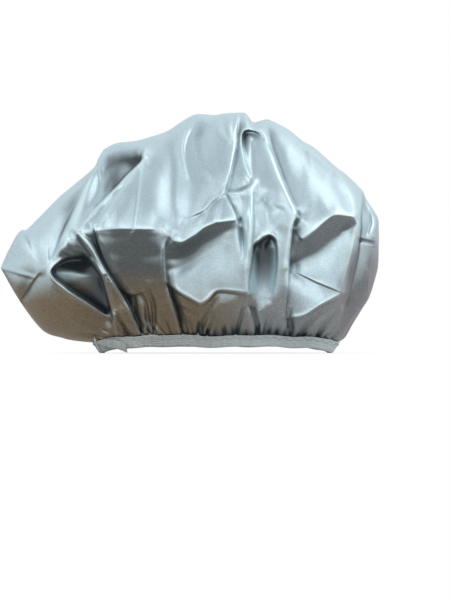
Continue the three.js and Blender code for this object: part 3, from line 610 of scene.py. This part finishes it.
def span_folds(plan, hem_depth, folds, swell):
    """Swollen depth of the cloth over the plan: taut between the outline, the hem and the fold lines."""
    rows, columns = plan.shape[:2]
    fixed, field = fold_depths(plan, folds)
    field[-1] = 0
    field[:, 0] = 0
    field[:, -1] = 0
    field[0] = hem_depth ** SWELL_POWER
    fixed[[0, -1]] = True
    fixed[:, [0, -1]] = True
    along = 1 / np.maximum(np.linalg.norm(np.diff(plan, axis=1), axis=2), LEAST_SPACING) ** 2
    up = 1 / np.maximum(np.linalg.norm(np.diff(plan, axis=0), axis=2), LEAST_SPACING) ** 2
    weight = np.zeros((rows, columns))
    weight[:, 1:] += along
    weight[:, :-1] += along
    weight[1:] += up
    weight[:-1] += up
    # Every other point moves in a round, as on a chess board
    board = np.add.outer(np.arange(rows), np.arange(columns)) % 2
    for turn in range(SPAN_ROUNDS):
        near = np.full((rows, columns), swell)
        near[:, 1:] += along * field[:, :-1]
        near[:, :-1] += along * field[:, 1:]
        near[1:] += up * field[:-1]
        near[:-1] += up * field[1:]
        moves = (board == turn % 2) & ~fixed
        field += np.where(moves, SPAN_PULL * (near / weight - field), 0)
    return np.maximum(field, 0)


def soften(field, passes):
    """Rounds the creases of a grid of values, with its edges kept."""
    for _ in range(passes):
        inner = (field[1:-1, :-2] + field[1:-1, 2:] + field[:-2, 1:-1] + field[2:, 1:-1]) / 4
        field[1:-1, 1:-1] = 0.5 * field[1:-1, 1:-1] + 0.5 * inner
    return field


def blurred(field, passes):
    """A grid of values, smoothed with its neighbours many times over."""
    for _ in range(passes):
        padded = np.pad(field, 1, mode="edge")
        field = (padded[1:-1, :-2] + padded[1:-1, 2:] + padded[:-2, 1:-1] + padded[2:, 1:-1]) / 4
    return field


def near_line(plan, line, reach):
    """Grid points within reach of a line: which ones, their place beside the line and its value there."""
    samples = spline(line, LINE_STEP)
    ways = unit(np.gradient(samples[:, :2], axis=0))
    spots = plan.reshape(-1, 2)
    low = samples[:, :2].min(axis=0) - reach
    high = samples[:, :2].max(axis=0) + reach
    chosen = np.flatnonzero(np.all((spots > low) & (spots < high), axis=1))
    offsets = spots[chosen, None, :] - samples[None, :, :2]
    away = np.sum(offsets ** 2, axis=2)
    nearest = np.argmin(away, axis=1)
    offset = offsets[np.arange(len(chosen)), nearest]
    way = ways[nearest]
    beside = offset[:, 0] * way[:, 1] - offset[:, 1] * way[:, 0]
    beyond = np.abs(np.sum(offset * way, axis=1))
    pull = (away + LINE_SPREAD) ** -2
    fade = np.exp(-(beyond / (LINE_END_FADE + LINE_END_SPREAD * np.abs(beside))) ** 2)
    value = (pull @ samples[:, 2]) / pull.sum(axis=1) * fade
    return chosen, beside, value


def press_laps(plan, laps):
    """How far the laps lower the cloth."""
    drop = np.zeros(plan.shape[0] * plan.shape[1])
    for width, line in laps.values():
        chosen, beside, value = near_line(plan, line, width)
        step = np.clip(beside / LAP_EDGE + 0.5, 0, 1)
        step = step * step * (3 - 2 * step)
        rise = np.clip(1 - np.maximum(beside, 0) / width, 0, 1) ** LAP_RISE_POWER
        rim = np.exp(-((beside + LAP_RIM_PLACE) / LAP_RIM_PLACE) ** 2)
        drop[chosen] += value * (step * rise - LAP_RIM * rim)
    return drop.reshape(plan.shape[:2])


def press_hollows(plan, hollows):
    """How far the soft hollows lower the cloth."""
    drop = np.zeros(plan.shape[0] * plan.shape[1])
    for width, line in hollows.values():
        chosen, beside, value = near_line(plan, line, 3 * width)
        drop[chosen] += value * np.exp(-(beside / width) ** 2)
    return drop.reshape(plan.shape[:2])


def round_bends(plan, depth, bends):
    """Rounds the cloth widely along some lines."""
    wide = blurred(depth, BEND_BLUR)
    share = np.zeros(plan.shape[0] * plan.shape[1])
    for line in bends.values():
        chosen, beside, value = near_line(plan, line, 3 * BEND_REACH)
        share[chosen] = np.maximum(share[chosen], value * np.exp(-(beside / BEND_REACH) ** 2))
    return depth + share.reshape(depth.shape) * (wide - depth)


def crown_side(side, folds, bends, laps, hollows, swell):
    """The front (side -1) or back (side 1) sheet of the crown as a grid of points in millimetres."""
    angles = hem_angles(side, COLUMNS + 1)
    hem = hem_spot(angles, CLOTH_AT_HEM, BAND_HEIGHT + CLOTH_RISE)
    bottom = hem[:, [0, 2]]
    top = spaced(spline(TOP_EDGE, LINE_STEP), COLUMNS + 1)
    left = spaced(spline(LEFT_SIDE, LINE_STEP), ROWS + 1)
    right = spaced(spline(RIGHT_SIDE, LINE_STEP), ROWS + 1)
    left[0], right[0] = bottom[0], bottom[-1]
    top[0], top[-1] = left[-1], right[-1]
    plan = patch(bottom, top, left, right)
    depth = span_folds(plan, np.abs(hem[:, 1]), folds, swell)
    depth = soften(depth, FOLD_SOFTENING) ** (1 / SWELL_POWER)
    depth = round_bends(plan, depth, bends)
    lowered = depth - press_laps(plan, laps) - press_hollows(plan, hollows)
    depth = soften(np.maximum(lowered, LEAST_DEPTH_SHARE * depth), 1)
    grid = np.stack([plan[..., 0], side * depth, plan[..., 1]], -1)
    return grid, angles


def grid_normals(grid, side):
    """Outward directions of a grid of points."""
    along = np.gradient(grid, axis=1)
    up = np.gradient(grid, axis=0)
    normal = np.cross(along, up)
    normal /= np.maximum(np.linalg.norm(normal, axis=2, keepdims=True), 1e-9)
    facing = np.sign(normal[..., 1:2] * side)
    return normal * np.where(facing == 0, 1, facing)


def gather(grid, angles, side, valleys, draw):
    """Presses the gathers' valleys into the cloth above the tape, and puffs it out between them."""
    place = HEM_HALF_WIDTH * np.cos(angles)
    rise = np.linalg.norm(np.diff(grid, axis=0), axis=2).cumsum(axis=0)
    rise = np.vstack([np.zeros((1, grid.shape[1])), rise])
    width = GATHER_LOW_WIDTH + GATHER_SPREAD * rise
    start = 1 - np.exp(-rise / GATHER_START)
    press = np.zeros(grid.shape[:2])
    for valley in valleys:
        reach = draw.uniform(*GATHER_REACH)
        lean = draw.uniform(-GATHER_LEAN, GATHER_LEAN)
        depth = GATHER_DEPTH * draw.uniform(*GATHER_DEPTH_SHARES)
        off = (place[None, :] - valley - lean * rise) / width
        press -= depth * np.exp(-off ** 2) * np.exp(-(rise / reach) ** GATHER_FADE_POWER) * start
    puff = GATHER_DEPTH * PUFF_SHARE * np.exp(-(rise / PUFF_REACH) ** 2) * (1 - np.exp(-rise / PUFF_START))
    return grid + grid_normals(grid, side) * (press + puff)[..., None]


def crumple(grid, side):
    """Small uneven waves of the cloth, fading at the outline and the hem."""
    rows, columns = grid.shape[:2]
    waves = np.zeros(rows * columns)
    for width, height, place, size in CRUMPLES:
        waves += [noise.noise(Vector((x / width, z / height, side * place))) * size
                  for x, _, z in grid.reshape(-1, 3)]
    v = np.linspace(0, 1, rows)[:, None]
    u = np.linspace(0, 1, columns)[None, :]
    from_ends = np.minimum(v, 1 - v) / CRUMPLE_FADE_UP
    from_sides = np.minimum(u, 1 - u) / CRUMPLE_FADE_ACROSS
    fade = np.clip(np.minimum(from_ends, from_sides), 0, 1)
    return grid + grid_normals(grid, side) * (waves.reshape(rows, columns) * fade)[..., None]


def hollowness(grid):
    """How far each point of a sheet lies behind the cloth close round it and further round it."""
    depth = np.abs(grid[..., 1])
    rows, columns = depth.shape
    column = np.arange(columns)
    from_side = np.minimum(column, columns - 1 - column)[None, :]
    from_top = rows - 1 - np.arange(rows)[:, None]
    fade = np.clip((np.minimum(from_side, from_top) - CAVITY_MARGIN) / CAVITY_FADE, 0, 1)
    near = (blurred(depth, CAVITY_BLUR) - depth) * fade
    wide = (blurred(depth, WIDE_BLUR) - depth) * fade
    return np.stack([near, wide], -1)


def new_mesh(name, points, faces):
    """A mesh object from points in millimetres."""
    mesh = bpy.data.meshes.new(name)
    mesh.from_pydata([tuple(p) for p in np.asarray(points) * MM], [], faces)
    mesh.update()
    piece = bpy.data.objects.new(name, mesh)
    bpy.context.scene.collection.objects.link(piece)
    mesh.polygons.foreach_set("use_smooth", [True] * len(mesh.polygons))
    return piece


def grid_faces(index):
    """Faces between neighbours of a grid of point numbers."""
    a, b = index[:-1, :-1].ravel(), index[:-1, 1:].ravel()
    c, d = index[1:, 1:].ravel(), index[1:, :-1].ravel()
    return list(zip(a.tolist(), b.tolist(), c.tolist(), d.tolist()))


def join_sides(front, back):
    """Points and faces of the two sheets joined along the outline, open at the hem."""
    rows, columns = front.shape[:2]
    front_index = np.arange(rows * columns).reshape(rows, columns)
    back_index = front_index + rows * columns
    back_index[-1] = front_index[-1]
    back_index[:, 0] = front_index[:, 0]
    back_index[:, -1] = front_index[:, -1]
    points = np.vstack([front.reshape(rows * columns, -1), back.reshape(rows * columns, -1)])
    used = np.unique(np.r_[front_index.ravel(), back_index.ravel()])
    number = np.full(len(points), -1)
    number[used] = np.arange(len(used))
    faces = grid_faces(number[front_index]) + grid_faces(number[back_index][:, ::-1])
    return points[used], faces


def tuck(grid, angles):
    """Adds the rows of cloth that go down into the tape."""
    edge = BAND_HEIGHT + CLOTH_RISE
    rows = [hem_spot(angles, CLOTH_AT_HEM, edge - down) for down in (CLOTH_TUCK, CLOTH_TUCK_HALFWAY)]
    return np.concatenate([np.array(rows), grid])


def solidify(piece, thickness):
    """Gives a sheet its thickness, inward from its outer face."""
    modifier = piece.modifiers.new("thickness", "SOLIDIFY")
    modifier.thickness = thickness * MM
    modifier.offset = -1
    bpy.context.view_layer.objects.active = piece
    piece.select_set(True)
    bpy.ops.object.modifier_apply(modifier=modifier.name)
    piece.select_set(False)


def make_lining(front, back, front_angles, back_angles):
    """The film inside the crown: coarser than the cloth, and inside it everywhere."""
    rows = slice(None, 1 - LINING_STEP, LINING_STEP)
    columns = slice(LINING_STEP - 1, 1 - LINING_STEP, LINING_STEP)
    sheets = []
    for grid, side, angles in ((front, -1, front_angles), (back, 1, back_angles)):
        # The least depth round each point keeps the coarser film inside every fold
        depth = np.abs(grid[..., 1])
        for _ in range(LINING_STEP):
            depth[1:-1, 1:-1] = np.minimum.reduce([depth[1:-1, 1:-1], depth[:-2, 1:-1], depth[2:, 1:-1],
                                                   depth[1:-1, :-2], depth[1:-1, 2:]])
        depth = np.maximum(depth - LINING_INSET, 0)
        sheet = np.stack([grid[..., 0], side * depth, grid[..., 2]], -1)[rows, columns]
        sheet[-1, :, 1] = 0
        sheet[:, [0, -1], 1] = 0
        own_angles = angles[columns]
        low = [hem_spot(own_angles, LINING_AT_HEM, BAND_HEIGHT + CLOTH_RISE - CLOTH_TUCK),
               hem_spot(own_angles, LINING_AT_HEM, BAND_HEIGHT),
               hem_spot(own_angles, LINING_ABOVE_HEM, BAND_HEIGHT + CLOTH_RISE)]
        sheets.append(np.concatenate([np.array(low), sheet[len(low):]]))
    points, faces = join_sides(*sheets)
    lining = new_mesh("lining", points, faces)
    solidify(lining, LINING_THICKNESS)
    return lining


def make_crown():
    """The gathered crown of silver cloth, and the film inside it."""
    draw = np.random.default_rng(GATHER_SEED)
    front, front_angles = crown_side(-1, FRONT_FOLDS, FRONT_BENDS, FRONT_LAPS, FRONT_HOLLOWS, FRONT_SWELL)
    back, back_angles = crown_side(1, BACK_FOLDS, {}, {}, {}, BACK_SWELL)
    lining = make_lining(front, back, front_angles, back_angles)
    first = -HEM_HALF_WIDTH + BACK_GATHER_ENDS[0]
    back_gathers = np.arange(first, HEM_HALF_WIDTH - BACK_GATHER_ENDS[1], BACK_GATHER_PITCH)
    scatter = draw.uniform(-BACK_GATHER_SCATTER, BACK_GATHER_SCATTER, len(back_gathers))
    front = gather(crumple(front, -1), front_angles, -1, FRONT_GATHERS, draw)
    back = gather(crumple(back, 1), back_angles, 1, back_gathers + scatter, draw)
    for edge in ((slice(None), 0), (slice(None), -1), (-1, slice(None))):
        back[edge] = front[edge] = (front[edge] + back[edge]) / 2
    sheets = [tuck(front, front_angles), tuck(back, back_angles)]
    sheets = [np.concatenate([sheet, hollowness(sheet)], axis=2) for sheet in sheets]
    points, faces = join_sides(*sheets)
    crown = new_mesh("crown", points[:, :3], faces)
    # Depths of creases, hollows and ribs, which the silver material turns into painted shade and painted
    # highlights
    for name, column in (("crease", 3), ("hollow", 4)):
        crown.data.attributes.new(name, "FLOAT", "POINT").data.foreach_set("value", points[:, column])
    solidify(crown, CLOTH_THICKNESS)
    return crown, lining


def hem_loop(name, section):
    """A closed section of (outward, up) points, swept round the whole hem."""
    angles = round_angles(0, 2 * math.pi, HEM_STEP)[:-1]
    rows = [hem_spot(angles, outward, up) for outward, up in section]
    index = np.arange(len(rows) * len(angles)).reshape(len(rows), len(angles))
    index = np.vstack([index, index[:1]])
    index = np.hstack([index, index[:, :1]])
    return new_mesh(name, np.concatenate(rows), grid_faces(index))


def make_tape():
    """The binding tape, folded over the edge of the cloth, with fine ribs along its outer face."""
    top = BAND_HEIGHT
    ribs = [(TAPE_OUT + RIB_HEIGHT * math.cos(2 * math.pi * up / RIB_PITCH), up)
            for up in np.linspace(RIB_LOW, top - RIB_BELOW_TOP, RIB_POINTS)]
    bead = [(2.62, top - 0.6), (2.7, top - 0.25), (2.45, top + 0.05), (2.0, top + 0.1), (1.6, top)]
    channel = [(1.6, 0.8), (-1.6, 0.8)]
    inner = [(-1.6, top), (-2.1, top + 0.1), (-2.4, top - 0.4), (-2.4, 0.6)]
    bottom = [(-2.0, 0.12), (-1.5, 0), (1.5, 0), (2.1, 0.2)]
    return hem_loop("hem_tape", ribs + bead + channel + inner + bottom)


def make_elastic():
    """The flat elastic inside the tape."""
    inner, outer = ELASTIC_OUT
    low, high = ELASTIC_UP
    return hem_loop("elastic", [(outer, low), (outer, high), (inner, high), (inner, low)])


def tube(path, radius, sides):
    """Points and faces of a round thread along a path, closed at both ends."""
    path = np.asarray(path, float)
    ways = unit(np.gradient(path, axis=0))
    across = unit(np.cross(ways, NO_THREADS_WAY))
    other = np.cross(ways, across)
    turns = np.arange(sides) / sides * 2 * math.pi
    rings = [path + radius * (math.cos(turn) * across + math.sin(turn) * other) for turn in turns]
    index = np.arange(sides * len(path)).reshape(sides, len(path))
    faces = grid_faces(np.vstack([index, index[:1]]))
    faces.append(index[:, 0].tolist())
    faces.append(index[::-1, -1].tolist())
    return np.concatenate(rings), faces


def join_tubes(name, paths, radius):
    """Several threads as one mesh."""
    points, faces, start = [], [], 0
    for path in paths:
        own_points, own_faces = tube(path, radius, THREAD_SIDES)
        points.append(own_points)
        faces += [[start + corner for corner in face] for face in own_faces]
        start += len(own_points)
    return new_mesh(name, np.concatenate(points), faces)


def make_stitching():
    """One zigzag row of thread along the tape, from the loose end round to the tack."""
    start = math.radians(TAIL_END_ANGLE + STITCH_START_GAP)
    end = math.radians(360 + TACK_ANGLE - STITCH_END_GAP)
    angles = round_angles(start, end - start, STITCH_LENGTH / STITCH_POINTS)
    beat = np.arange(len(angles)) / STITCH_POINTS * math.pi
    up = BAND_HEIGHT - STITCH_BELOW_TOP + STITCH_SWING * np.sin(beat)
    outward = TAPE_OUT + STITCH_OUT + STITCH_LOFT * np.abs(np.cos(beat))
    return join_tubes("stitching", [hem_spot(angles, outward, up)], STITCH_RADIUS)


def make_tack():
    """The bar tack that closes the lap of the tape, with the ends of its thread left long."""
    start = math.radians(TACK_ANGLE)
    width = TACK_WIDTH / HEM_HALF_DEPTH / TACK_ARC
    threads = []
    share = np.linspace(0, 1, TACK_POINTS)
    outward = TAPE_OUT + TACK_OUT + TACK_LOFT * np.sin(math.pi * share)
    for up in np.linspace(TACK_LOW, TACK_HIGH, TACK_BARS):
        threads.append(hem_spot(start + width * share, outward, up + TACK_TILT * share))
    share = np.linspace(0, 1, TACK_END_POINTS)
    outward = TAPE_OUT + TACK_LOFT + TACK_END_OUT * share
    for turn, rise in TACK_ENDS:
        swing = start + width * TACK_END_PLACE + turn * share
        threads.append(hem_spot(swing, outward, TACK_END_UP + rise * np.sin(TACK_END_BEND * share)))
    return join_tubes("bar_tack_threads", threads, TACK_RADIUS)


def make_tail():
    """The loose end of the tape: a leaf that peels off the hem and droops to a tip."""
    start, end = math.radians(TAIL_START_ANGLE), math.radians(TAIL_END_ANGLE)
    share = np.linspace(0, 1, TAIL_POINTS)
    angles = round_angles(start, end - start, TAIL_STEP)
    angles = np.interp(share, np.linspace(0, 1, len(angles)), angles)
    place = HEM_HALF_WIDTH * np.cos(angles)
    upper = np.interp(place, *zip(*TAIL_UPPER_EDGE))
    lower = np.interp(place, *zip(*TAIL_LOWER_EDGE))
    rows = []
    for v in np.linspace(0, 1, TAIL_ROWS):
        roll = TAIL_ROLL * max(0, v - TAIL_ROLL_START) / (1 - TAIL_ROLL_START)
        bow = TAIL_BOW * math.sin(math.pi * v)
        outward = TAPE_OUT + TAIL_OUT + TAIL_PEEL * share ** 2 + bow * share + roll * share
        spots = hem_spot(angles, outward, BAND_HEIGHT)
        spots[:, 2] = lower + (upper - lower) * v
        rows.append(spots)
    index = np.arange(TAIL_ROWS * TAIL_POINTS).reshape(TAIL_ROWS, TAIL_POINTS)
    tail = new_mesh("tape_end", np.concatenate(rows), grid_faces(index))
    solidify(tail, TAIL_THICKNESS)
    return tail


def make_floor():
    """A pale floor far wider than the view."""
    mesh = bpy.data.meshes.new("floor")
    corners = [(-FLOOR_REACH, -FLOOR_REACH, 0), (FLOOR_REACH, -FLOOR_REACH, 0),
               (FLOOR_REACH, FLOOR_REACH, 0), (-FLOOR_REACH, FLOOR_REACH, 0)]
    mesh.from_pydata(corners, [], [(0, 1, 2, 3)])
    floor = bpy.data.objects.new("floor", mesh)
    bpy.context.scene.collection.objects.link(floor)
    return floor


def make_camera():
    """A level camera in front of the cap, with the photograph's frame."""
    lens = bpy.data.cameras.new("camera")
    lens.lens = lens.sensor_width * CAMERA_DISTANCE / (IMAGE_HEIGHT * PIXEL * MM)
    camera = bpy.data.objects.new("camera", lens)
    camera.location = (IMAGE_MIDDLE[0] * MM, -CAMERA_DISTANCE, IMAGE_MIDDLE[1] * MM)
    camera.rotation_euler = (math.pi / 2, 0, 0)
    bpy.context.scene.collection.objects.link(camera)
    bpy.context.scene.camera = camera


def make_lamp(name, place, size, power):
    """A round lamp that faces the cap."""
    lamp = bpy.data.lights.new(name, "AREA")
    lamp.shape = "DISK"
    lamp.size = size
    lamp.energy = power
    light = bpy.data.objects.new(name, lamp)
    light.location = place
    light.rotation_euler = (Vector(LAMP_AIM) - Vector(place)).to_track_quat("-Z", "Y").to_euler()
    bpy.context.scene.collection.objects.link(light)


class Nodes:
    """Short ways to add nodes to a material or the world."""

    def __init__(self, owner):
        owner.use_nodes = True
        self.tree = owner.node_tree
        self.tree.nodes.clear()

    def add(self, kind, **settings):
        """A new node with some of its settings."""
        node = self.tree.nodes.new(kind)
        for name, value in settings.items():
            setattr(node, name, value)
        return node

    def put(self, value, socket):
        """Joins another node's output to a socket, or sets the socket to a plain value."""
        if isinstance(value, bpy.types.NodeSocket):
            self.tree.links.new(value, socket)
        elif isinstance(value, tuple) and len(value) == 3 and socket.type == "RGBA":
            socket.default_value = (*value, 1)
        else:
            socket.default_value = value

    def math(self, kind, a, b=0.0, clamp=False):
        """A sum, product or the like of two values."""
        node = self.add("ShaderNodeMath", operation=kind, use_clamp=clamp)
        self.put(a, node.inputs[0])
        self.put(b, node.inputs[1])
        return node.outputs[0]

    def ramp(self, value, low, high, least=0.0):
        """The least value below low, 1 above high and a smooth rise between."""
        node = self.add("ShaderNodeMapRange", interpolation_type="SMOOTHSTEP")
        self.put(value, node.inputs["Value"])
        node.inputs["From Min"].default_value = low
        node.inputs["From Max"].default_value = high
        node.inputs["To Min"].default_value = least
        return node.outputs["Result"]

    def fall(self, value, low, high):
        """1 below low, 0 above high and a smooth fall between."""
        return self.math("SUBTRACT", 1.0, self.ramp(value, low, high))

    def mix(self, share, a, b):
        """The first colour, turning into the second as the share grows."""
        node = self.add("ShaderNodeMix", data_type="RGBA")
        self.put(share, node.inputs["Factor"])
        self.put(a, node.inputs[6])
        self.put(b, node.inputs[7])
        return node.outputs[2]

    def noise(self, where, scale, detail):
        """A cloudy pattern of values."""
        node = self.add("ShaderNodeTexNoise")
        self.put(where, node.inputs["Vector"])
        node.inputs["Scale"].default_value = scale
        node.inputs["Detail"].default_value = detail
        return node.outputs["Fac"]

    def split(self, vector):
        """The X, Y and Z of a vector."""
        node = self.add("ShaderNodeSeparateXYZ")
        self.put(vector, node.inputs[0])
        return node.outputs

    def facing(self):
        """The X, Y and Z of the way that the surface faces."""
        return self.split(self.add("ShaderNodeNewGeometry").outputs["Normal"])


def new_material(name):
    """A material with its nodes, its shader and the place on the piece."""
    material = bpy.data.materials.new(name)
    nodes = Nodes(material)
    shader = nodes.add("ShaderNodeBsdfPrincipled")
    nodes.put(shader.outputs[0], nodes.add("ShaderNodeOutputMaterial", name="output").inputs["Surface"])
    where = nodes.add("ShaderNodeTexCoord").outputs["Object"]
    return material, nodes, shader, where


def silver_material():
    """Silver coated cloth, with painted shade where it faces down, a painted brown reflection and shade low
    on the left, painted shade in creases and hollows, painted highlights on ribs and a painted mauve
    reflection and shade low on the right.
    """
    material, nodes, shader, where = new_material("silver_cloth")
    facing = nodes.facing()
    place = nodes.split(where)
    crease = nodes.add("ShaderNodeAttribute", attribute_name="crease").outputs["Fac"]
    hollow = nodes.add("ShaderNodeAttribute", attribute_name="hollow").outputs["Fac"]
    grain = nodes.ramp(nodes.noise(where, scale=800, detail=2), 0.3, 0.7)

    # Painted shade where it faces down: grey above, and below it, from left to right, a painted brown
    # reflection and shade, then pale or dusky painted shade
    low = nodes.fall(place["Z"], *LOW_PART)
    left = nodes.fall(place["X"], *BROWN_TO_PALE)
    grey = nodes.mix(grain, *PAINTED_GREY_SHADE)
    grey = nodes.mix(nodes.ramp(place["X"], *GREY_TO_RIGHT), grey, nodes.mix(grain, *PAINTED_RIGHT_GREY_SHADE))
    pale = nodes.mix(grain, *PAINTED_PALE_SHADE)
    pale = nodes.mix(nodes.ramp(place["X"], *PALE_TO_DUSK), pale, nodes.mix(grain, *PAINTED_DUSK_SHADE))
    under = nodes.mix(low, grey, nodes.mix(left, pale, nodes.mix(grain, *PAINTED_BROWN_REFLECTION)))
    downward = nodes.math("MULTIPLY", facing["Z"], -1.0)
    # Painted brown reflection and shade low on the left, on faces that do not turn far up
    brown_reflection_share = nodes.ramp(downward, *BROWN_REFLECTION_FACING)
    brown_reflection_share = nodes.math("MULTIPLY", brown_reflection_share, nodes.math("MULTIPLY", low, left))
    # Share of painted shade by how far the cloth faces down
    down = nodes.math("MAXIMUM", nodes.ramp(downward, *PAINTED_SHADE_FACING), brown_reflection_share)
    cloth = nodes.mix(down, nodes.mix(grain, *SILVER), under)

    # Painted shade in creases and hollows, and painted highlights on ribs
    shade = nodes.math("MAXIMUM", nodes.ramp(crease, *CREASE_DEPTH), nodes.ramp(hollow, *HOLLOW_DEPTH))
    with_painted_shade = nodes.mix(shade, cloth, PAINTED_CREASE_SHADE)
    rib = nodes.ramp(nodes.math("MULTIPLY", crease, -1.0), *RIB_DEPTH)
    rib_share = nodes.math("SUBTRACT", 0.75, nodes.math("MULTIPLY", down, 0.7))
    with_painted_highlight = nodes.mix(nodes.math("MULTIPLY", rib, rib_share), with_painted_shade, PAINTED_RIB_HIGHLIGHT)

    # Painted mauve reflection and shade low on the right side, where the cloth faces right
    right = nodes.ramp(facing["X"], *MAUVE_FACING)
    right = nodes.math("MULTIPLY", right, nodes.ramp(place["X"], *MAUVE_START))
    below = nodes.math("SUBTRACT", 0.8, nodes.ramp(place["Z"], *MAUVE_TOP))
    right = nodes.math("MULTIPLY", right, below, True)
    nodes.put(nodes.mix(right, with_painted_highlight, PAINTED_MAUVE_SHADE), shader.inputs["Base Color"])

    weave = nodes.add("ShaderNodeBump")
    weave.inputs["Strength"].default_value = 0.12
    weave.inputs["Distance"].default_value = 0.0004
    nodes.put(nodes.noise(where, scale=1300, detail=2), weave.inputs["Height"])
    nodes.put(weave.outputs[0], shader.inputs["Normal"])
    shader.inputs["Metallic"].default_value = 0.65
    shader.inputs["Roughness"].default_value = 0.42
    return material


def tape_material():
    """Woven tape: yarn of two tones with painted shade of wrinkles across it, lighter to the right, and a
    painted highlight on its upper edge.
    """
    material, nodes, shader, where = new_material("woven_tape")
    place = nodes.split(where)
    yarn = nodes.ramp(nodes.noise(where, scale=900, detail=2), 0.35, 0.65)
    patches = nodes.ramp(nodes.noise(where, scale=30, detail=2), 0.35, 0.65)
    tone = nodes.mix(yarn, *YARN)
    tone = nodes.mix(nodes.math("MULTIPLY", patches, 0.5), tone, LIGHT_PATCH)
    across = nodes.add("ShaderNodeCombineXYZ")
    nodes.put(place["X"], across.inputs[0])
    nodes.put(place["Y"], across.inputs[1])
    nodes.put(nodes.math("MULTIPLY", place["Z"], 0.15), across.inputs[2])
    # Painted shade of wrinkles across the tape
    wrinkle_shade = nodes.fall(nodes.noise(across.outputs[0], scale=420, detail=2), 0.35, 0.6)
    tone = nodes.mix(nodes.math("MULTIPLY", wrinkle_shade, 0.3), tone, PAINTED_WRINKLE_SHADE)
    right = nodes.ramp(place["X"], *TAPE_TO_RIGHT)
    tone = nodes.mix(nodes.math("MULTIPLY", right, 0.5), tone, RIGHT_TAPE)
    # Painted highlight where the tape faces up
    upper = nodes.ramp(nodes.facing()["Z"], 0.15, 0.7)
    nodes.put(nodes.mix(upper, tone, PAINTED_TAPE_HIGHLIGHT), shader.inputs["Base Color"])
    shader.inputs["Roughness"].default_value = 0.75
    return material


def speckled_material(name, scale, detail, tones, roughness):
    """A material whose tone varies between two from place to place."""
    material, nodes, shader, where = new_material(name)
    nodes.put(nodes.mix(nodes.noise(where, scale, detail), *tones), shader.inputs["Base Color"])
    shader.inputs["Roughness"].default_value = roughness
    return material


def film_material():
    """Smooth pale film."""
    return speckled_material("lining_film", scale=40, detail=3, tones=FILM, roughness=0.45)


def elastic_material():
    """Pale woven elastic."""
    return speckled_material("elastic", scale=600, detail=1, tones=ELASTIC, roughness=0.85)


def thread_material(name, tones):
    """Spun thread."""
    return speckled_material(name, scale=1200, detail=1, tones=tones, roughness=0.6)


def floor_material():
    """A pale floor that looks white further off and keeps the cap's shadow."""
    material, nodes, shader, where = new_material("floor")
    nodes.put(nodes.mix(nodes.noise(where, scale=3, detail=2), *FLOOR), shader.inputs["Base Color"])
    shader.inputs["Roughness"].default_value = 0.9
    away = nodes.add("ShaderNodeVectorMath", operation="LENGTH")
    nodes.put(where, away.inputs[0])
    path = nodes.add("ShaderNodeLightPath")
    seen = nodes.math("MAXIMUM", path.outputs["Is Camera Ray"], path.outputs["Is Glossy Ray"])
    seen = nodes.math("MAXIMUM", seen, path.outputs["Is Transmission Ray"])
    white = nodes.ramp(away.outputs["Value"], *FLOOR_WHITENS, FLOOR_LEAST_WHITE)
    blend = nodes.add("ShaderNodeMixShader")
    nodes.put(nodes.math("MULTIPLY", white, seen), blend.inputs[0])
    nodes.put(shader.outputs[0], blend.inputs[1])
    nodes.put(nodes.add("ShaderNodeEmission").outputs[0], blend.inputs[2])
    nodes.put(blend.outputs[0], nodes.tree.nodes["output"].inputs["Surface"])
    return material


def make_world():
    """A studio: a light room with a dimmer ceiling in front of the cap, and a white wall behind it."""
    world = bpy.data.worlds.new("studio")
    bpy.context.scene.world = world
    nodes = Nodes(world)
    way = nodes.split(nodes.add("ShaderNodeTexCoord").outputs["Generated"])
    room = nodes.mix(nodes.ramp(way["Z"], 0.1, 0.8), *ROOM)
    wall = nodes.mix(nodes.ramp(way["Z"], -0.1, 0.5), *WALL)
    behind = nodes.mix(nodes.ramp(way["Y"], 0.0, 0.6), room, wall)
    color = nodes.mix(nodes.ramp(way["Y"], 0.93, 0.98), behind, WHITE)
    background = nodes.add("ShaderNodeBackground")
    nodes.put(color, background.inputs["Color"])
    output = nodes.add("ShaderNodeOutputWorld")
    nodes.put(background.outputs[0], output.inputs["Surface"])


# Stage
floor = make_floor()
make_camera()
make_world()
for name, (place, size, power) in LAMPS.items():
    make_lamp(name, place, size, power)
bpy.context.scene.view_settings.view_transform = "Standard"

# Pieces and their materials
crown, lining = make_crown()
tape = make_tape()
elastic = make_elastic()
stitching = make_stitching()
tack = make_tack()
tail = make_tail()
woven = tape_material()
for piece, material in (
    (crown, silver_material()),
    (lining, film_material()),
    (tape, woven),
    (tail, woven),
    (elastic, elastic_material()),
    (stitching, thread_material("hem_thread", HEM_THREAD)),
    (tack, thread_material("tack_thread", TACK_THREAD)),
    (floor, floor_material()),
):
    piece.data.materials.append(material)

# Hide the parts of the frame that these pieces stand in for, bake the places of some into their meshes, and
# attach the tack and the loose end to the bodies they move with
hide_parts("outer_shell")
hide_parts("waterproof_lining")
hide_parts("hem_tape_front", "hem_tape_rear")
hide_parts("elastic_front", "elastic_rear")
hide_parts("stitching_front", "stitching_rear")
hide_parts("bar_tack")
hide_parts("loose_tape_end")
for piece in (crown, lining, tape, elastic, stitching):
    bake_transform(piece)
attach(tack, FRONT_BODY)
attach(tail, "tape_end")
